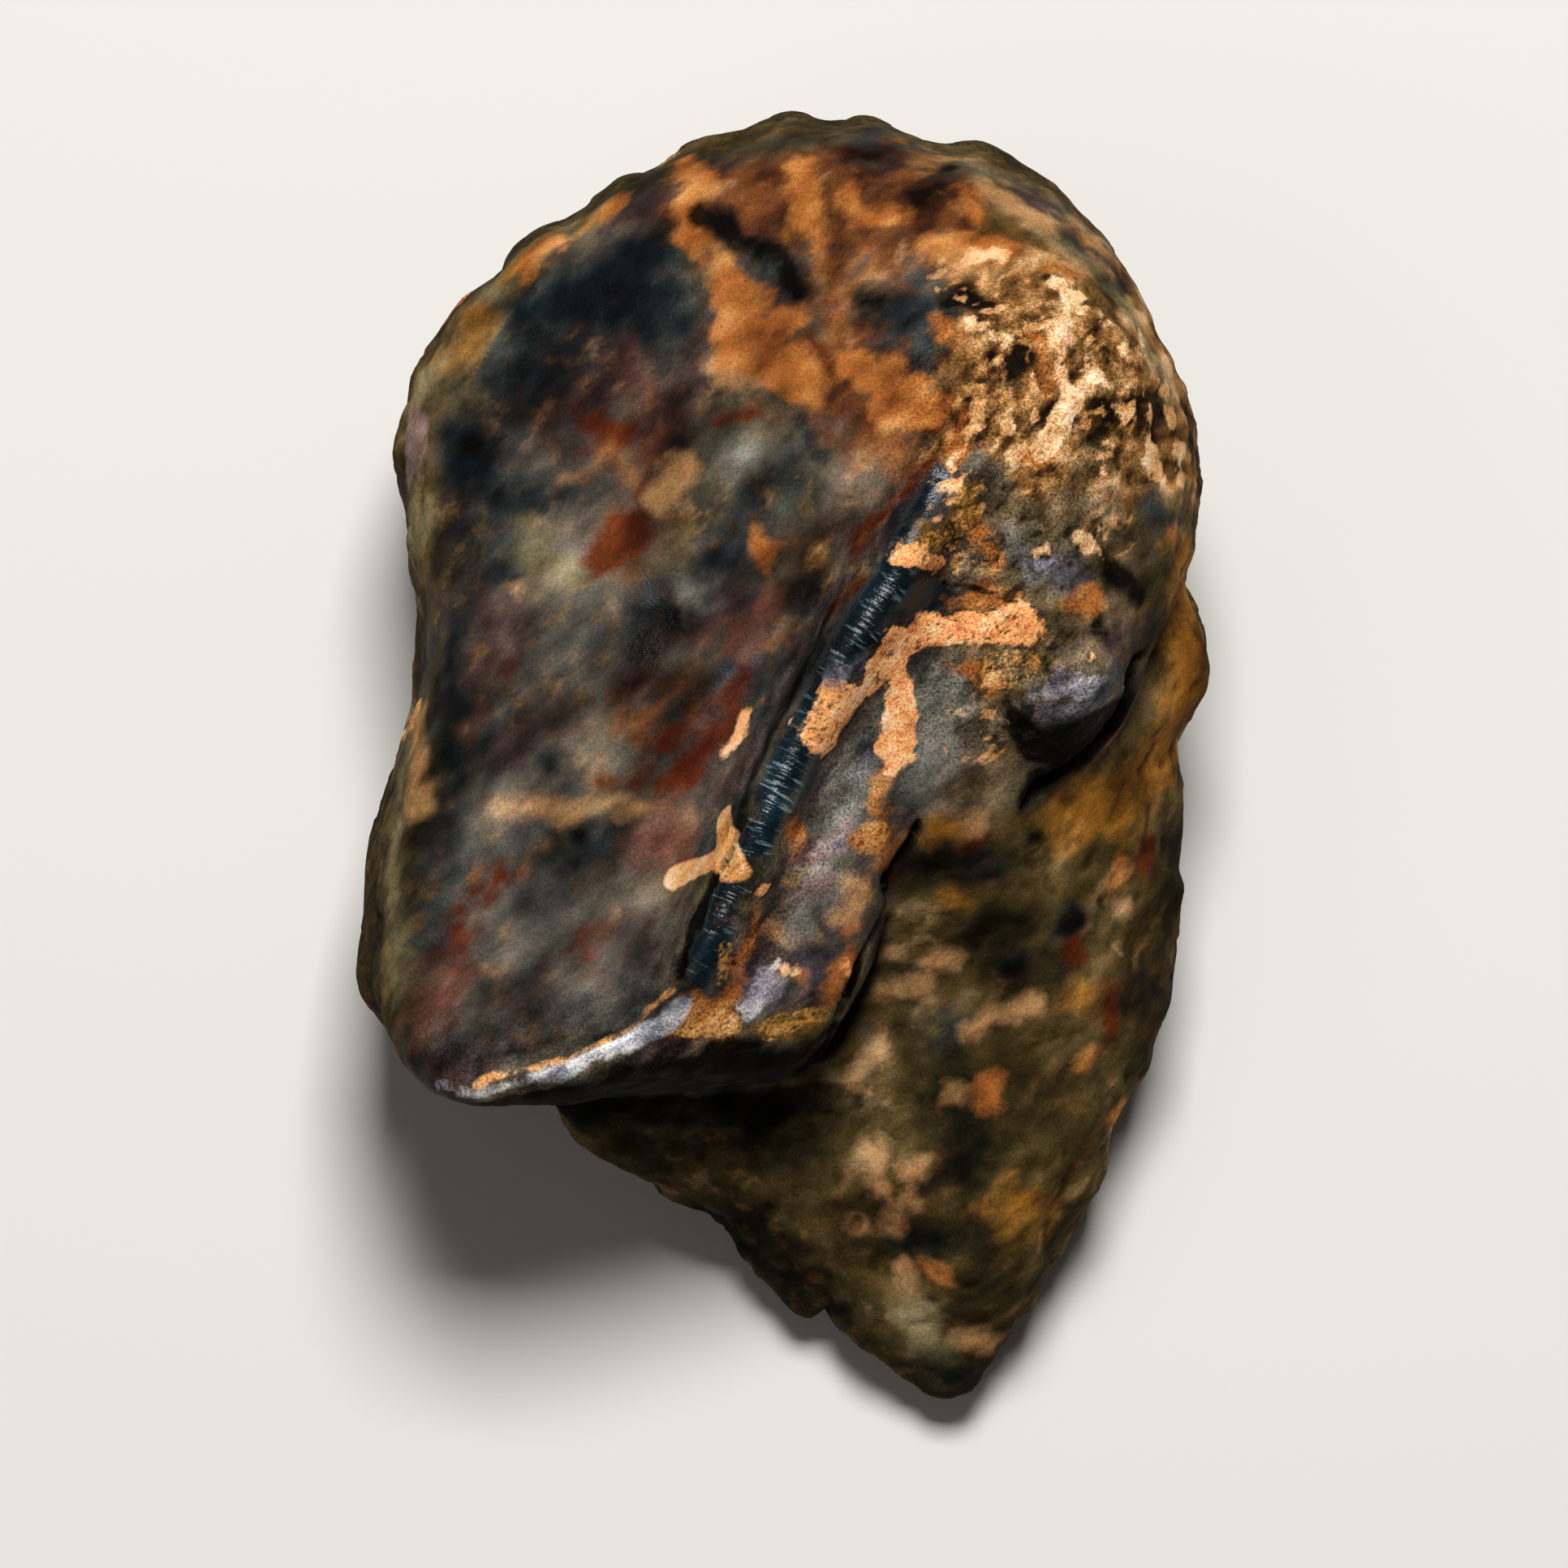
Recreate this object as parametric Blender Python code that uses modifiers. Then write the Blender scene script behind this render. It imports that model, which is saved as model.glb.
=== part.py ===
"""Fossil triceratops tooth: one solid, lying on its worn back with the keeled enamel face up.

The tooth is shaped along its own axes, in millimetres: x to the right, y towards the crown's apex and
z out of the enamel face. It is then leaned onto its flat wear facet. World: metres, +Z up, the apex
towards +Y, and the origin under the middle of the tooth's box.
"""
import math

import bpy
import numpy as np
from mathutils import Matrix, Vector, noise

MM = 0.001

# Driving dimensions of the tooth as it lies, in millimetres, and the lean of its face in degrees
TOOTH_WIDTH = 20.7
TOOTH_LENGTH = 31.0
TOOTH_HEIGHT = 14.2
FACET_LEAN = 12.0
TRIANGLES = 8000

# Shape of the ridges and edges, in millimetres
KEEL_RISE = 1.0
KEEL_HALF_WIDTH = 0.8
KEEL_FADE = 0.2
GROOVE_DEPTH = 0.55
GROOVE_OFFSET = 1.45
GROOVE_HALF_WIDTH = 0.55
DENTICLE_RISE = 0.3
DENTICLE_HALF_WIDTH = 0.75
FACET_DEPTH = 0.4
FACET_SINK = 0.5
BACK_EDGE_RADIUS = 7.5
ROOT_EDGE_RADIUS = 2.6
ROOT_BACK_RADIUS = 4.5
ROOT_SINK = 0.1
PRONG_LIFT = 0.9
PRONG_LIFT_START = -4.0
PRONG_LIFT_LENGTH = 9.0
RUMPLE = 0.3
RUMPLE_LENGTH = 3.4
CRUST_RISE = 0.35
CRUST_REACH = 4.6
CRUST_FLAKE = (1.1, 3.2, 2.0)
ROOT_KNOT_RISE = 0.24
ROOT_KNOT_LENGTH = 1.8
VOXEL = 0.22
PEBBLE_SEGMENTS = 150
PEBBLE_RINGS = 64
RING_CROWDING = 1.25

# Crown outline from the right shoulder round by the apex and the base lip: x, y, the height of the
# widest line of the wall there, high where the wall tucks in underneath, and the edge's radius
CROWN_RIM = [
    (10.2, 7.0, 6.2, 1.4), (9.7, 9.4, 5.8, 1.6), (8.3, 11.9, 5.2, 1.7), (6.5, 13.9, 4.8, 1.7),
    (3.6, 14.9, 4.4, 1.6), (0.8, 15.6, 4.2, 1.5), (-2.2, 14.8, 4.2, 1.4), (-4.8, 13.6, 4.2, 1.4),
    (-7.2, 11.8, 4.2, 1.4), (-8.8, 9.6, 4.2, 1.3), (-9.4, 7.4, 4.2, 1.3), (-9.2, 4.6, 4.4, 1.2),
    (-8.9, 3.0, 4.6, 1.2), (-9.2, 0.8, 5.0, 1.2), (-9.9, -1.8, 5.8, 1.3), (-10.3, -5.2, 7.2, 1.3),
    (-9.6, -7.0, 9.4, 1.0), (-8.7, -8.1, 11.6, 0.5), (-6.5, -8.4, 12.0, 0.45), (-3.0, -8.1, 10.2, 0.9),
    (-0.2, -7.9, 9.8, 1.3), (0.9, -7.0, 9.8, 1.0), (1.8, -5.2, 9.8, 0.8), (2.3, -3.8, 9.8, 0.7),
    (2.6, -2.8, 9.2, 0.8), (3.6, -2.1, 8.0, 1.8), (5.8, -1.4, 7.6, 2.2), (7.3, -0.1, 9.0, 1.3),
    (8.4, 1.3, 10.0, 1.3), (8.7, 2.6, 9.6, 1.2), (9.8, 4.2, 7.2, 1.4), (10.1, 5.6, 6.4, 1.5)]
CROWN_MIDDLE = (-0.5, 2.8)

# Heights of the enamel face at places chosen by eye: the left face sinks away from keel and lip
FACE_HEIGHTS = [
    # Along the keel and the base lip
    (3.9, 6.8, 12.5), (1.5, 2.4, 12.4), (-0.4, -1.4, 12.4), (-2.5, -6.0, 12.6), (-4.2, -7.1, 12.7),
    (-6.5, -7.8, 12.6), (-8.4, -7.7, 12.2),
    # Left face
    (-5.2, -4.6, 11.7), (-9.2, -4.6, 10.6), (-2.6, -2.0, 11.6), (-5.6, -0.6, 10.8), (-8.6, -0.6, 9.4),
    (-1.6, 3.0, 11.0), (-5.0, 4.0, 10.0), (-8.2, 4.4, 8.4), (0.8, 6.6, 11.4), (-3.2, 8.6, 9.4),
    (-7.4, 9.0, 8.0), (-3.6, 12.4, 8.2),
    # Apex and the crusted shoulder
    (1.0, 10.4, 10.4), (1.2, 14.2, 8.6), (5.4, 13.0, 9.4), (5.6, 9.8, 11.6), (8.4, 9.8, 10.4),
    (9.4, 6.8, 9.8),
    # Right face, knob, saddle and lower right rim
    (6.6, 6.0, 12.2), (4.4, 3.6, 12.1), (8.2, 4.2, 11.0), (7.2, 1.9, 12.1), (3.6, 0.6, 11.6),
    (5.4, -0.4, 10.8), (1.2, -1.8, 11.9), (2.1, -3.6, 11.6), (0.6, -5.4, 12.0), (-0.6, -6.8, 11.8)]

# Crest of the keel from the base lip to where it runs out under the crust
KEEL_LINE = [(-2.5, -6.0), (-1.7, -4.4), (-1.0, -2.9), (-0.4, -1.4), (0.5, 0.5), (1.5, 2.4),
             (2.8, 4.4), (3.9, 6.8)]

# Middle of the rough crust on the crown's right shoulder
CRUST_MIDDLE = (7.0, 9.2)

# Small denticles along the crown's margin, by the place of each tip
DENTICLES = [(-9.0, 9.7), (-7.8, 10.9), (-6.3, 12.5), (-4.0, 14.0), (-2.1, 14.9), (0.1, 15.5),
             (2.2, 15.5), (4.8, 14.3)]

# Root outline from the right margin round by the main prong, the lesser prong and inside the crown
ROOT_RIM = [
    (9.9, 3.9, 6.0), (10.35, 2.6, 6.0), (10.2, 1.4, 6.0), (9.55, 0.1, 5.8), (9.8, -0.9, 5.8),
    (9.6, -2.6, 5.4), (9.4, -5.6, 5.0), (8.9, -7.4, 4.8), (8.0, -9.6, 4.6), (7.3, -11.5, 4.4),
    (6.2, -13.4, 4.4), (5.0, -15.1, 4.4), (4.2, -15.8, 4.4), (3.1, -15.2, 4.4), (1.9, -14.3, 4.2),
    (0.9, -14.0, 3.8), (-0.4, -13.4, 3.6), (-1.3, -12.1, 3.8), (-2.3, -11.2, 4.2), (-3.6, -10.5, 4.6),
    (-4.9, -9.7, 5.0), (-5.9, -8.4, 5.6), (-6.8, -5.6, 6.0), (-6.2, -1.4, 6.0), (-4.0, 2.6, 6.0),
    (0.0, 5.6, 6.0), (5.0, 6.4, 6.0), (8.6, 5.4, 6.0)]
ROOT_MIDDLE = (3.0, -3.6)

# Heights of the root's upper side, which runs out from under the crown and thins to the prongs
ROOT_HEIGHTS = [
    (-4.5, -8.8, 7.2), (-2.0, -10.2, 6.6), (0.0, -12.8, 5.4), (1.4, -9.8, 6.9), (3.6, -14.2, 5.8),
    (4.6, -11.6, 7.2), (4.4, -7.6, 8.0), (7.6, -7.0, 7.4), (8.8, -2.8, 7.6), (5.2, -4.2, 9.2),
    (4.9, -2.2, 10.5), (5.2, -0.2, 11.0), (7.4, -2.0, 8.6), (9.2, 1.4, 8.0), (8.6, 3.8, 8.2),
    (2.4, -6.0, 8.3), (-1.0, -6.0, 8.2), (-4.0, -5.0, 8.4), (0.0, 0.0, 9.6)]

# The hollow left between the two prongs at the back, and the slit where they part
HOLLOW_PLACE = (0.9, -11.8, 1.0)
HOLLOW_RADII = (2.3, 6.8, 2.4)
SLIT_PLACE = (1.15, -14.35, 4.4)
SLIT_RADII = (0.34, 1.15, 2.4)


def clear_scene():
    """Takes away whatever the opened file holds."""
    for old in list(bpy.data.objects):
        bpy.data.objects.remove(old, do_unlink=True)


def make_collection(name):
    """Gives a new collection in the scene."""
    collection = bpy.data.collections.new(name)
    bpy.context.scene.collection.children.link(collection)
    return collection


def stone_material():
    """Gives the dark, semi-gloss stone of the fossil."""
    material = bpy.data.materials.new("fossil_enamel")
    material.use_nodes = True
    shader = material.node_tree.nodes["Principled BSDF"]
    shader.inputs["Base Color"].default_value = (0.10, 0.075, 0.05, 1.0)
    shader.inputs["Roughness"].default_value = 0.45
    shader.inputs["Metallic"].default_value = 0.0
    return material


def smooth_curve(points, closed, steps=12):
    """Runs a smooth curve through the points."""
    knots = np.array(points, float)
    if not closed:
        knots = np.vstack([2 * knots[0] - knots[1], knots, 2 * knots[-1] - knots[-2]])
    before = np.roll(knots, 1, axis=0)
    after = np.roll(knots, -1, axis=0)
    beyond = np.roll(knots, -2, axis=0)
    pieces = []
    for step in range(steps):
        t = step / steps
        pieces.append(0.5 * (2 * knots + (after - before) * t
                             + (2 * before - 5 * knots + 4 * after - beyond) * t ** 2
                             + (3 * knots - before - 3 * after + beyond) * t ** 3))
    curve = np.stack(pieces, axis=1).reshape(-1, knots.shape[1])
    return curve if closed else curve[steps:1 - 2 * steps]


class Rim:
    """The widest line of a pebble-like body, asked for by direction from its middle."""

    def __init__(self, points, middle):
        curve = smooth_curve(points, closed=True)
        across = curve[:, :2] - np.array(middle)
        order = np.argsort(np.arctan2(across[:, 1], across[:, 0]))
        self.angles = np.arctan2(across[:, 1], across[:, 0])[order]
        self.reaches = np.hypot(across[:, 0], across[:, 1])[order]
        self.heights = curve[:, 2][order]
        self.radii = curve[:, 3][order] if curve.shape[1] > 3 else np.full(len(order), ROOT_EDGE_RADIUS)

    def reach(self, angles):
        """Distance from the middle to the rim."""
        return np.interp(angles, self.angles, self.reaches, period=2 * math.pi)

    def height(self, angles):
        """Height of the rim."""
        return np.interp(angles, self.angles, self.heights, period=2 * math.pi)

    def edge_radius(self, angles):
        """Radius that rounds the rim into the upper side."""
        return np.interp(angles, self.angles, self.radii, period=2 * math.pi)


class Sheet:
    """A thin springy sheet bent through given heights."""

    STIFFNESS = 0.02

    def __init__(self, places):
        places = np.array(places, float)
        self.knots = places[:, :2]
        count = len(places)
        plane = np.hstack([np.ones((count, 1)), self.knots])
        bend = self.kernel(self.knots) + self.STIFFNESS * np.eye(count)
        system = np.block([[bend, plane], [plane.T, np.zeros((3, 3))]])
        self.weights = np.linalg.solve(system, np.concatenate([places[:, 2], np.zeros(3)]))

    def kernel(self, spots):
        """Influence of each knot on each spot."""
        gap = np.linalg.norm(spots[:, None, :] - self.knots[None, :, :], axis=2)
        return gap ** 2 * np.log(gap + 1e-9)

    def height(self, spots):
        """Height of the sheet over each spot."""
        count = len(self.knots)
        bent = self.kernel(spots) @ self.weights[:count]
        return bent + self.weights[count] + spots @ self.weights[count + 1:]


def path_offsets(spots, path):
    """Gives each spot's distance to an open path, positive on its left, and how far along it lies."""
    path = np.array(path, float)
    lengths = np.linalg.norm(np.diff(path, axis=0), axis=1)
    starts = np.concatenate([[0.0], np.cumsum(lengths)])
    nearest = np.full(len(spots), np.inf)
    offset = np.zeros(len(spots))
    along = np.zeros(len(spots))
    for number, (first, last) in enumerate(zip(path[:-1], path[1:])):
        run = (last - first) / lengths[number]
        rel = spots - first
        step = np.clip(rel @ run, 0.0, lengths[number])
        gap = np.linalg.norm(rel - step[:, None] * run, axis=1)
        side = np.sign(run[0] * rel[:, 1] - run[1] * rel[:, 0])
        closer = gap < nearest
        nearest = np.where(closer, gap, nearest)
        offset = np.where(closer, side * gap, offset)
        along = np.where(closer, (starts[number] + step) / starts[-1], along)
    return offset, along


def quarter_round(depth, radius):
    """Rises from 0 at the edge to 1 at the radius, as a quarter circle does."""
    inward = np.clip(1.0 - depth / radius, 0.0, 1.0)
    return np.sqrt(1.0 - inward ** 2)


def keel_relief(spots):
    """Height that the keel adds, with the groove along its left flank."""
    offset, along = path_offsets(spots, smooth_curve(KEEL_LINE, closed=False, steps=4))
    fade = np.clip((1.05 - along) / KEEL_FADE, 0.0, 1.0) * np.clip(0.35 + along / KEEL_FADE, 0.0, 1.0)
    crest = KEEL_RISE * np.exp(-(offset / KEEL_HALF_WIDTH) ** 2)
    groove = GROOVE_DEPTH * np.exp(-((offset - GROOVE_OFFSET) / GROOVE_HALF_WIDTH) ** 2)
    return (crest - groove) * fade


def facet_height(spots):
    """Height of the worn flat facet at the back, in the tooth's own axes."""
    return -FACET_DEPTH - spots[:, 1] * math.tan(math.radians(FACET_LEAN))


def crown_front(spots):
    """Height of the enamel face."""
    return CROWN_SHEET.height(spots) + keel_relief(spots)


def crown_back(spots):
    """Height of the crown's back, sunk just past the facet so that the facet is cut flat."""
    return facet_height(spots) - FACET_SINK


def root_front(spots):
    """Height of the root's upper side."""
    return ROOT_SHEET.height(spots)


def root_back(spots):
    """Height of the root's underside, which lifts off the ground towards the prongs."""
    lift = np.clip((PRONG_LIFT_START - spots[:, 1]) / PRONG_LIFT_LENGTH, 0.0, 1.0)
    return facet_height(spots) - ROOT_SINK + PRONG_LIFT * lift ** 1.5


def move_to(body, collection):
    """Moves an object into a collection."""
    for holder in list(body.users_collection):
        holder.objects.unlink(body)
    collection.objects.link(body)


def pebble(name, rim, middle, front, back, back_radius, collection):
    """Reshapes a ball: its equator follows the rim, its halves follow the front and the back."""
    bpy.ops.mesh.primitive_uv_sphere_add(segments=PEBBLE_SEGMENTS, ring_count=PEBBLE_RINGS, radius=1.0)
    body = bpy.context.object
    body.name = name
    move_to(body, collection)
    mesh = body.data
    ball = np.empty(len(mesh.vertices) * 3)
    mesh.vertices.foreach_get("co", ball)
    ball = ball.reshape(-1, 3)
    turn = np.arctan2(ball[:, 1], ball[:, 0])
    climb = np.arcsin(np.clip(np.abs(ball[:, 2]), 0.0, 1.0)) / (math.pi / 2)
    reach = rim.reach(turn)
    inside = 1.0 - climb ** RING_CROWDING
    spots = np.stack([middle[0] + inside * reach * np.cos(turn),
                      middle[1] + inside * reach * np.sin(turn)], axis=1)
    depth = (1.0 - inside) * reach
    level = rim.height(turn)
    upper = level + (front(spots) - level) * quarter_round(depth, rim.edge_radius(turn))
    lower = level + (back(spots) - level) * quarter_round(depth, back_radius)
    height = np.where(ball[:, 2] >= 0.0, upper, lower)
    shaped = np.column_stack([spots, height])
    mesh.vertices.foreach_set("co", shaped.ravel())
    mesh.update()
    return body


def as_cutter(body, collection):
    """Files an object as a cutter, which isn't part of the tooth."""
    move_to(body, collection)
    body.hide_render = True
    body.display_type = "WIRE"
    return body


def ellipsoid(name, place, radii, collection):
    """Gives an ellipsoid cutter in the tooth's own axes."""
    bpy.ops.mesh.primitive_uv_sphere_add(segments=32, ring_count=16, radius=1.0, location=place)
    cutter = bpy.context.object
    cutter.name = name
    cutter.scale = radii
    return as_cutter(cutter, collection)


def add_boolean(body, other, operation):
    """Adds an exact Boolean with another object."""
    modifier = body.modifiers.new(operation.lower(), "BOOLEAN")
    modifier.operation = operation
    modifier.solver = "EXACT"
    modifier.object = other


def bake(body):
    """Applies the object's modifiers to its mesh."""
    bpy.context.view_layer.update()
    done = bpy.data.meshes.new_from_object(body.evaluated_get(bpy.context.evaluated_depsgraph_get()))
    body.modifiers.clear()
    old = body.data
    body.data = done
    bpy.data.meshes.remove(old)


def mesh_arrays(mesh):
    """Gives the mesh's points and normals."""
    points = np.empty(len(mesh.vertices) * 3)
    normals = np.empty(len(mesh.vertices) * 3)
    mesh.vertices.foreach_get("co", points)
    mesh.vertices.foreach_get("normal", normals)
    return points.reshape(-1, 3), normals.reshape(-1, 3)


def rumple(points, lengths, octaves):
    """Uneven relief from smooth noise whose lumps have the given lengths."""
    scale = Vector((1.0 / lengths[0], 1.0 / lengths[1], 1.0 / lengths[2]))
    return np.array([noise.fractal(Vector(p) * scale, 1.0, 2.0, octaves) for p in points])


def carve_relief(body):
    """Moves the surface for the denticles, the crust's flakes, the root's knots and broad wear."""
    points, normals = mesh_arrays(body.data)
    upward = np.clip(normals[:, 2], 0.0, 1.0)
    push = RUMPLE * rumple(points, (RUMPLE_LENGTH,) * 3, 3) * (1.0 - 0.75 * upward)
    from_crust = np.hypot(points[:, 0] - CRUST_MIDDLE[0], points[:, 1] - CRUST_MIDDLE[1])
    crust = np.clip(1.4 - 1.4 * from_crust / CRUST_REACH, 0.0, 1.0) * upward
    push += CRUST_RISE * crust * (0.4 + rumple(points, CRUST_FLAKE, 2))
    on_root = np.clip((9.6 - points[:, 2]) / 2.0, 0.0, 1.0) * np.clip(-points[:, 1] / 2.0, 0.0, 1.0)
    push += ROOT_KNOT_RISE * on_root * rumple(points, (ROOT_KNOT_LENGTH,) * 3, 2)
    margin = np.clip(1.0 - np.abs(normals[:, 2]), 0.0, 1.0)
    for x, y in DENTICLES:
        gap = np.hypot(points[:, 0] - x, points[:, 1] - y)
        push += DENTICLE_RISE * margin * np.exp(-(gap / DENTICLE_HALF_WIDTH) ** 2)
    body.data.vertices.foreach_set("co", (points + normals * push[:, None]).ravel())
    body.data.update()


def lean_onto_facet(body):
    """Turns the tooth's own axes into the world's, in metres, with the facet at ground level."""
    lean = Matrix.Rotation(math.radians(FACET_LEAN), 4, "X")
    ground = FACET_DEPTH * math.cos(math.radians(FACET_LEAN))
    body.data.transform(Matrix.Scale(MM, 4) @ Matrix.Translation((0.0, 0.0, ground)) @ lean)


def fit_to_size(body):
    """Brings the box to the driving dimensions, with the origin under its middle."""
    points, _ = mesh_arrays(body.data)
    low = points.min(axis=0)
    spans = points.max(axis=0) - low
    middle = Vector((low[0] + spans[0] / 2, low[1] + spans[1] / 2, low[2]))
    factors = [wanted * MM / span for wanted, span in zip((TOOTH_WIDTH, TOOTH_LENGTH, TOOTH_HEIGHT), spans)]
    body.data.transform(Matrix.Diagonal((*factors, 1.0)) @ Matrix.Translation(-middle))


def ground_block(collection):
    """Gives the block that everything below ground level is cut away with."""
    side = 2 * TOOTH_LENGTH * MM
    bpy.ops.mesh.primitive_cube_add(size=side, location=(0.0, 0.0, -side / 2))
    block = bpy.context.object
    block.name = "ground_cut"
    return as_cutter(block, collection)


def build_tooth():
    """Makes the tooth and its cutters."""
    parts = make_collection("triceratops_tooth")
    cutters = make_collection("cutters")
    crown = pebble("tooth", Rim(CROWN_RIM, CROWN_MIDDLE), CROWN_MIDDLE, crown_front, crown_back,
                   BACK_EDGE_RADIUS, parts)
    root = pebble("root_shape", Rim(ROOT_RIM, ROOT_MIDDLE), ROOT_MIDDLE, root_front, root_back,
                  ROOT_BACK_RADIUS, cutters)
    add_boolean(crown, as_cutter(root, cutters), "UNION")
    add_boolean(crown, ellipsoid("prong_hollow", HOLLOW_PLACE, HOLLOW_RADII, cutters), "DIFFERENCE")
    add_boolean(crown, ellipsoid("prong_slit", SLIT_PLACE, SLIT_RADII, cutters), "DIFFERENCE")
    remesh = crown.modifiers.new("even skin", "REMESH")
    remesh.mode = "VOXEL"
    remesh.voxel_size = VOXEL
    soften = crown.modifiers.new("worn edges", "SMOOTH")
    soften.factor = 0.5
    soften.iterations = 3
    bake(crown)
    carve_relief(crown)
    lean_onto_facet(crown)
    faces = len(crown.data.polygons) * 2
    reduce = crown.modifiers.new("fewer faces", "DECIMATE")
    reduce.ratio = TRIANGLES / faces
    add_boolean(crown, ground_block(cutters), "DIFFERENCE")
    bake(crown)
    fit_to_size(crown)
    crown.data.materials.append(stone_material())
    crown.data.shade_smooth()
    return crown


CROWN_SHEET = Sheet(FACE_HEIGHTS)
ROOT_SHEET = Sheet(ROOT_HEIGHTS)
clear_scene()
build_tooth()
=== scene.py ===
"""Looks of the fossil triceratops tooth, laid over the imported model.

The skin is shaped and marked in the tooth's own axes, in millimetres: x to the right, y towards the
crown's apex and z out of the enamel face, which leans back from the level by FACE_LEAN. Marks are
strokes of (x, y, half width) that are dropped onto the surface from above. The finished mesh, the
floor, the lights and the camera are in metres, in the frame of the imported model.
"""
import math
from dataclasses import dataclass

import bpy
import numpy as np
from mathutils import Matrix, Vector, noise
from mathutils.bvhtree import BVHTree


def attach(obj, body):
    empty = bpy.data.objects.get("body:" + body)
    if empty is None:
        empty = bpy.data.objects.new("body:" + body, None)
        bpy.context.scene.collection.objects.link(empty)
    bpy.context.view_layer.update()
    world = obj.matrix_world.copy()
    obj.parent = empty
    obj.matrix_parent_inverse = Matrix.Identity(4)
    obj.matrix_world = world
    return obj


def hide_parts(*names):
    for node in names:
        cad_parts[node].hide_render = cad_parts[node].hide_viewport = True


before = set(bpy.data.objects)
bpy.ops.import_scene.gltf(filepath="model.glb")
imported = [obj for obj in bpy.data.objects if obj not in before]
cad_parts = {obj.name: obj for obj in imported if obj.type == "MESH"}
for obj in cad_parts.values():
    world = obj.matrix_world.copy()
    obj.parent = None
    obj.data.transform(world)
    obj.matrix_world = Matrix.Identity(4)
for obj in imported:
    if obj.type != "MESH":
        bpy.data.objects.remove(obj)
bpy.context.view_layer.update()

MM = 0.001
FACE_LEAN = math.radians(12.0)
SEED = 65

# The skin: lengths in millimetres, levels of rounding, and shares and rounds of smoothing
MERGE_GAP = 0.001
SKIN_VOXEL = 0.15
SKIN_ROUNDING = 2
SKIN_SMOOTHING = (0.5, 4)
HOLLOW_SMOOTHING = 3
DAB_SPACING = 0.12
DROP_HEIGHT = 30.0
FAR_AWAY = 50.0

# Crest of the keel from the base lip up to the crust, how its sharpness starts and fades at the ends
# and low down, how much calmer its skin is, and the fine ribs that cross it
KEEL_CREST = [(-2.5, -6.0), (-1.7, -4.4), (-1.0, -2.9), (-0.4, -1.4), (0.5, 0.5), (1.5, 2.4),
              (2.8, 4.4), (3.9, 6.8)]
KEEL_SHARPNESS = 0.45
KEEL_SHARP_RISE = 0.3
KEEL_START = 0.3
KEEL_FADES = (1.2, 2.0)
KEEL_FLOOR = 7.0
KEEL_CALM = 0.8
RIB_SPACING = 0.1
RIB_STRETCH = 0.27
RIB_HEIGHT = 0.02
RIB_BAND = (0.15, 0.45)
RIB_FLOOR = 8.0
RIB_PLACES = (0.0, 0.8, 3.0, 3.8, 4.6, 6.4, 7.2, 8.5, 11.0, 12.5, 14.0)
RIB_STRENGTHS = (0.0, 0.6, 0.6, 0.8, 1.0, 1.0, 0.6, 0.7, 0.8, 0.4, 0.0)

# Narrow lines and low swellings: a stroke of (x, y, half width), how far it rises, and its softness
RELIEF_LINES = [
    ([(-0.7, -1.2, 0.05), (-1.05, -2.1, 0.1), (-1.45, -3.1, 0.12), (-1.9, -4.0, 0.12), (-2.5, -5.3, 0.1)],
     -0.32, 0.16),
    ([(3.2, -1.5, 0.1), (3.1, -2.0, 0.14), (2.3, -3.0, 0.16), (2.3, -3.6, 0.2), (2.1, -4.2, 0.2),
      (1.6, -5.2, 0.2), (1.4, -5.9, 0.2), (0.9, -7.0, 0.2), (0.3, -7.6, 0.2)], -0.34, 0.16),
    ([(-6.6, -7.2, 0.12), (-5.0, -6.7, 0.14), (-3.9, -6.2, 0.14), (-2.9, -5.6, 0.12)], -0.08, 0.2),
    ([(8.7, 2.45, 0.08), (8.35, 2.1, 0.14), (8.3, 1.5, 0.2), (8.1, 1.1, 0.25), (7.6, 0.4, 0.3),
      (6.9, -0.3, 0.3), (6.3, -0.7, 0.25), (5.9, -1.2, 0.15)], -0.5, 0.3),
    ([(4.0, 4.2, 0.03), (4.9, 3.95, 0.04), (5.8, 3.5, 0.03)], -0.1, 0.1),
    ([(1.0, 3.4, 0.05), (0.1, 1.5, 0.1), (-0.4, 0.3, 0.14), (-0.8, -0.9, 0.1)], -0.16, 0.3),
    ([(7.0, 2.8, 0.08), (7.7, 3.2, 0.1)], -0.15, 0.2),
    ([(-8.4, -8.0, 0.2), (-7.2, -7.9, 0.24), (-5.6, -7.7, 0.26), (-4.1, -7.1, 0.3), (-2.6, -6.3, 0.3)],
     0.17, 0.66),
    ([(2.2, -3.6, 0.2), (1.5, -4.9, 0.2), (1.2, -5.8, 0.22), (0.4, -6.9, 0.25)], 0.14, 0.3),
    ([(7.5, 1.9, 0.5), (6.9, 1.5, 0.7), (6.2, 0.9, 0.6)], 0.15, 1.1),
    ([(-9.1, 8.2, 0.5), (-9.4, 6.4, 0.6), (-9.2, 4.8, 0.5)], 0.22, 1.4),
    ([(9.3, 6.4, 0.5), (9.0, 5.0, 0.5)], 0.25, 1.2),
    ([(-6.6, 11.7, 0.5), (-5.6, 12.4, 0.4)], 0.16, 1.2),
    ([(1.6, -1.2, 0.2), (0.8, -2.6, 0.3), (0.1, -4.4, 0.4), (-0.6, -6.0, 0.4)], 0.16, 0.6),
]

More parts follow.
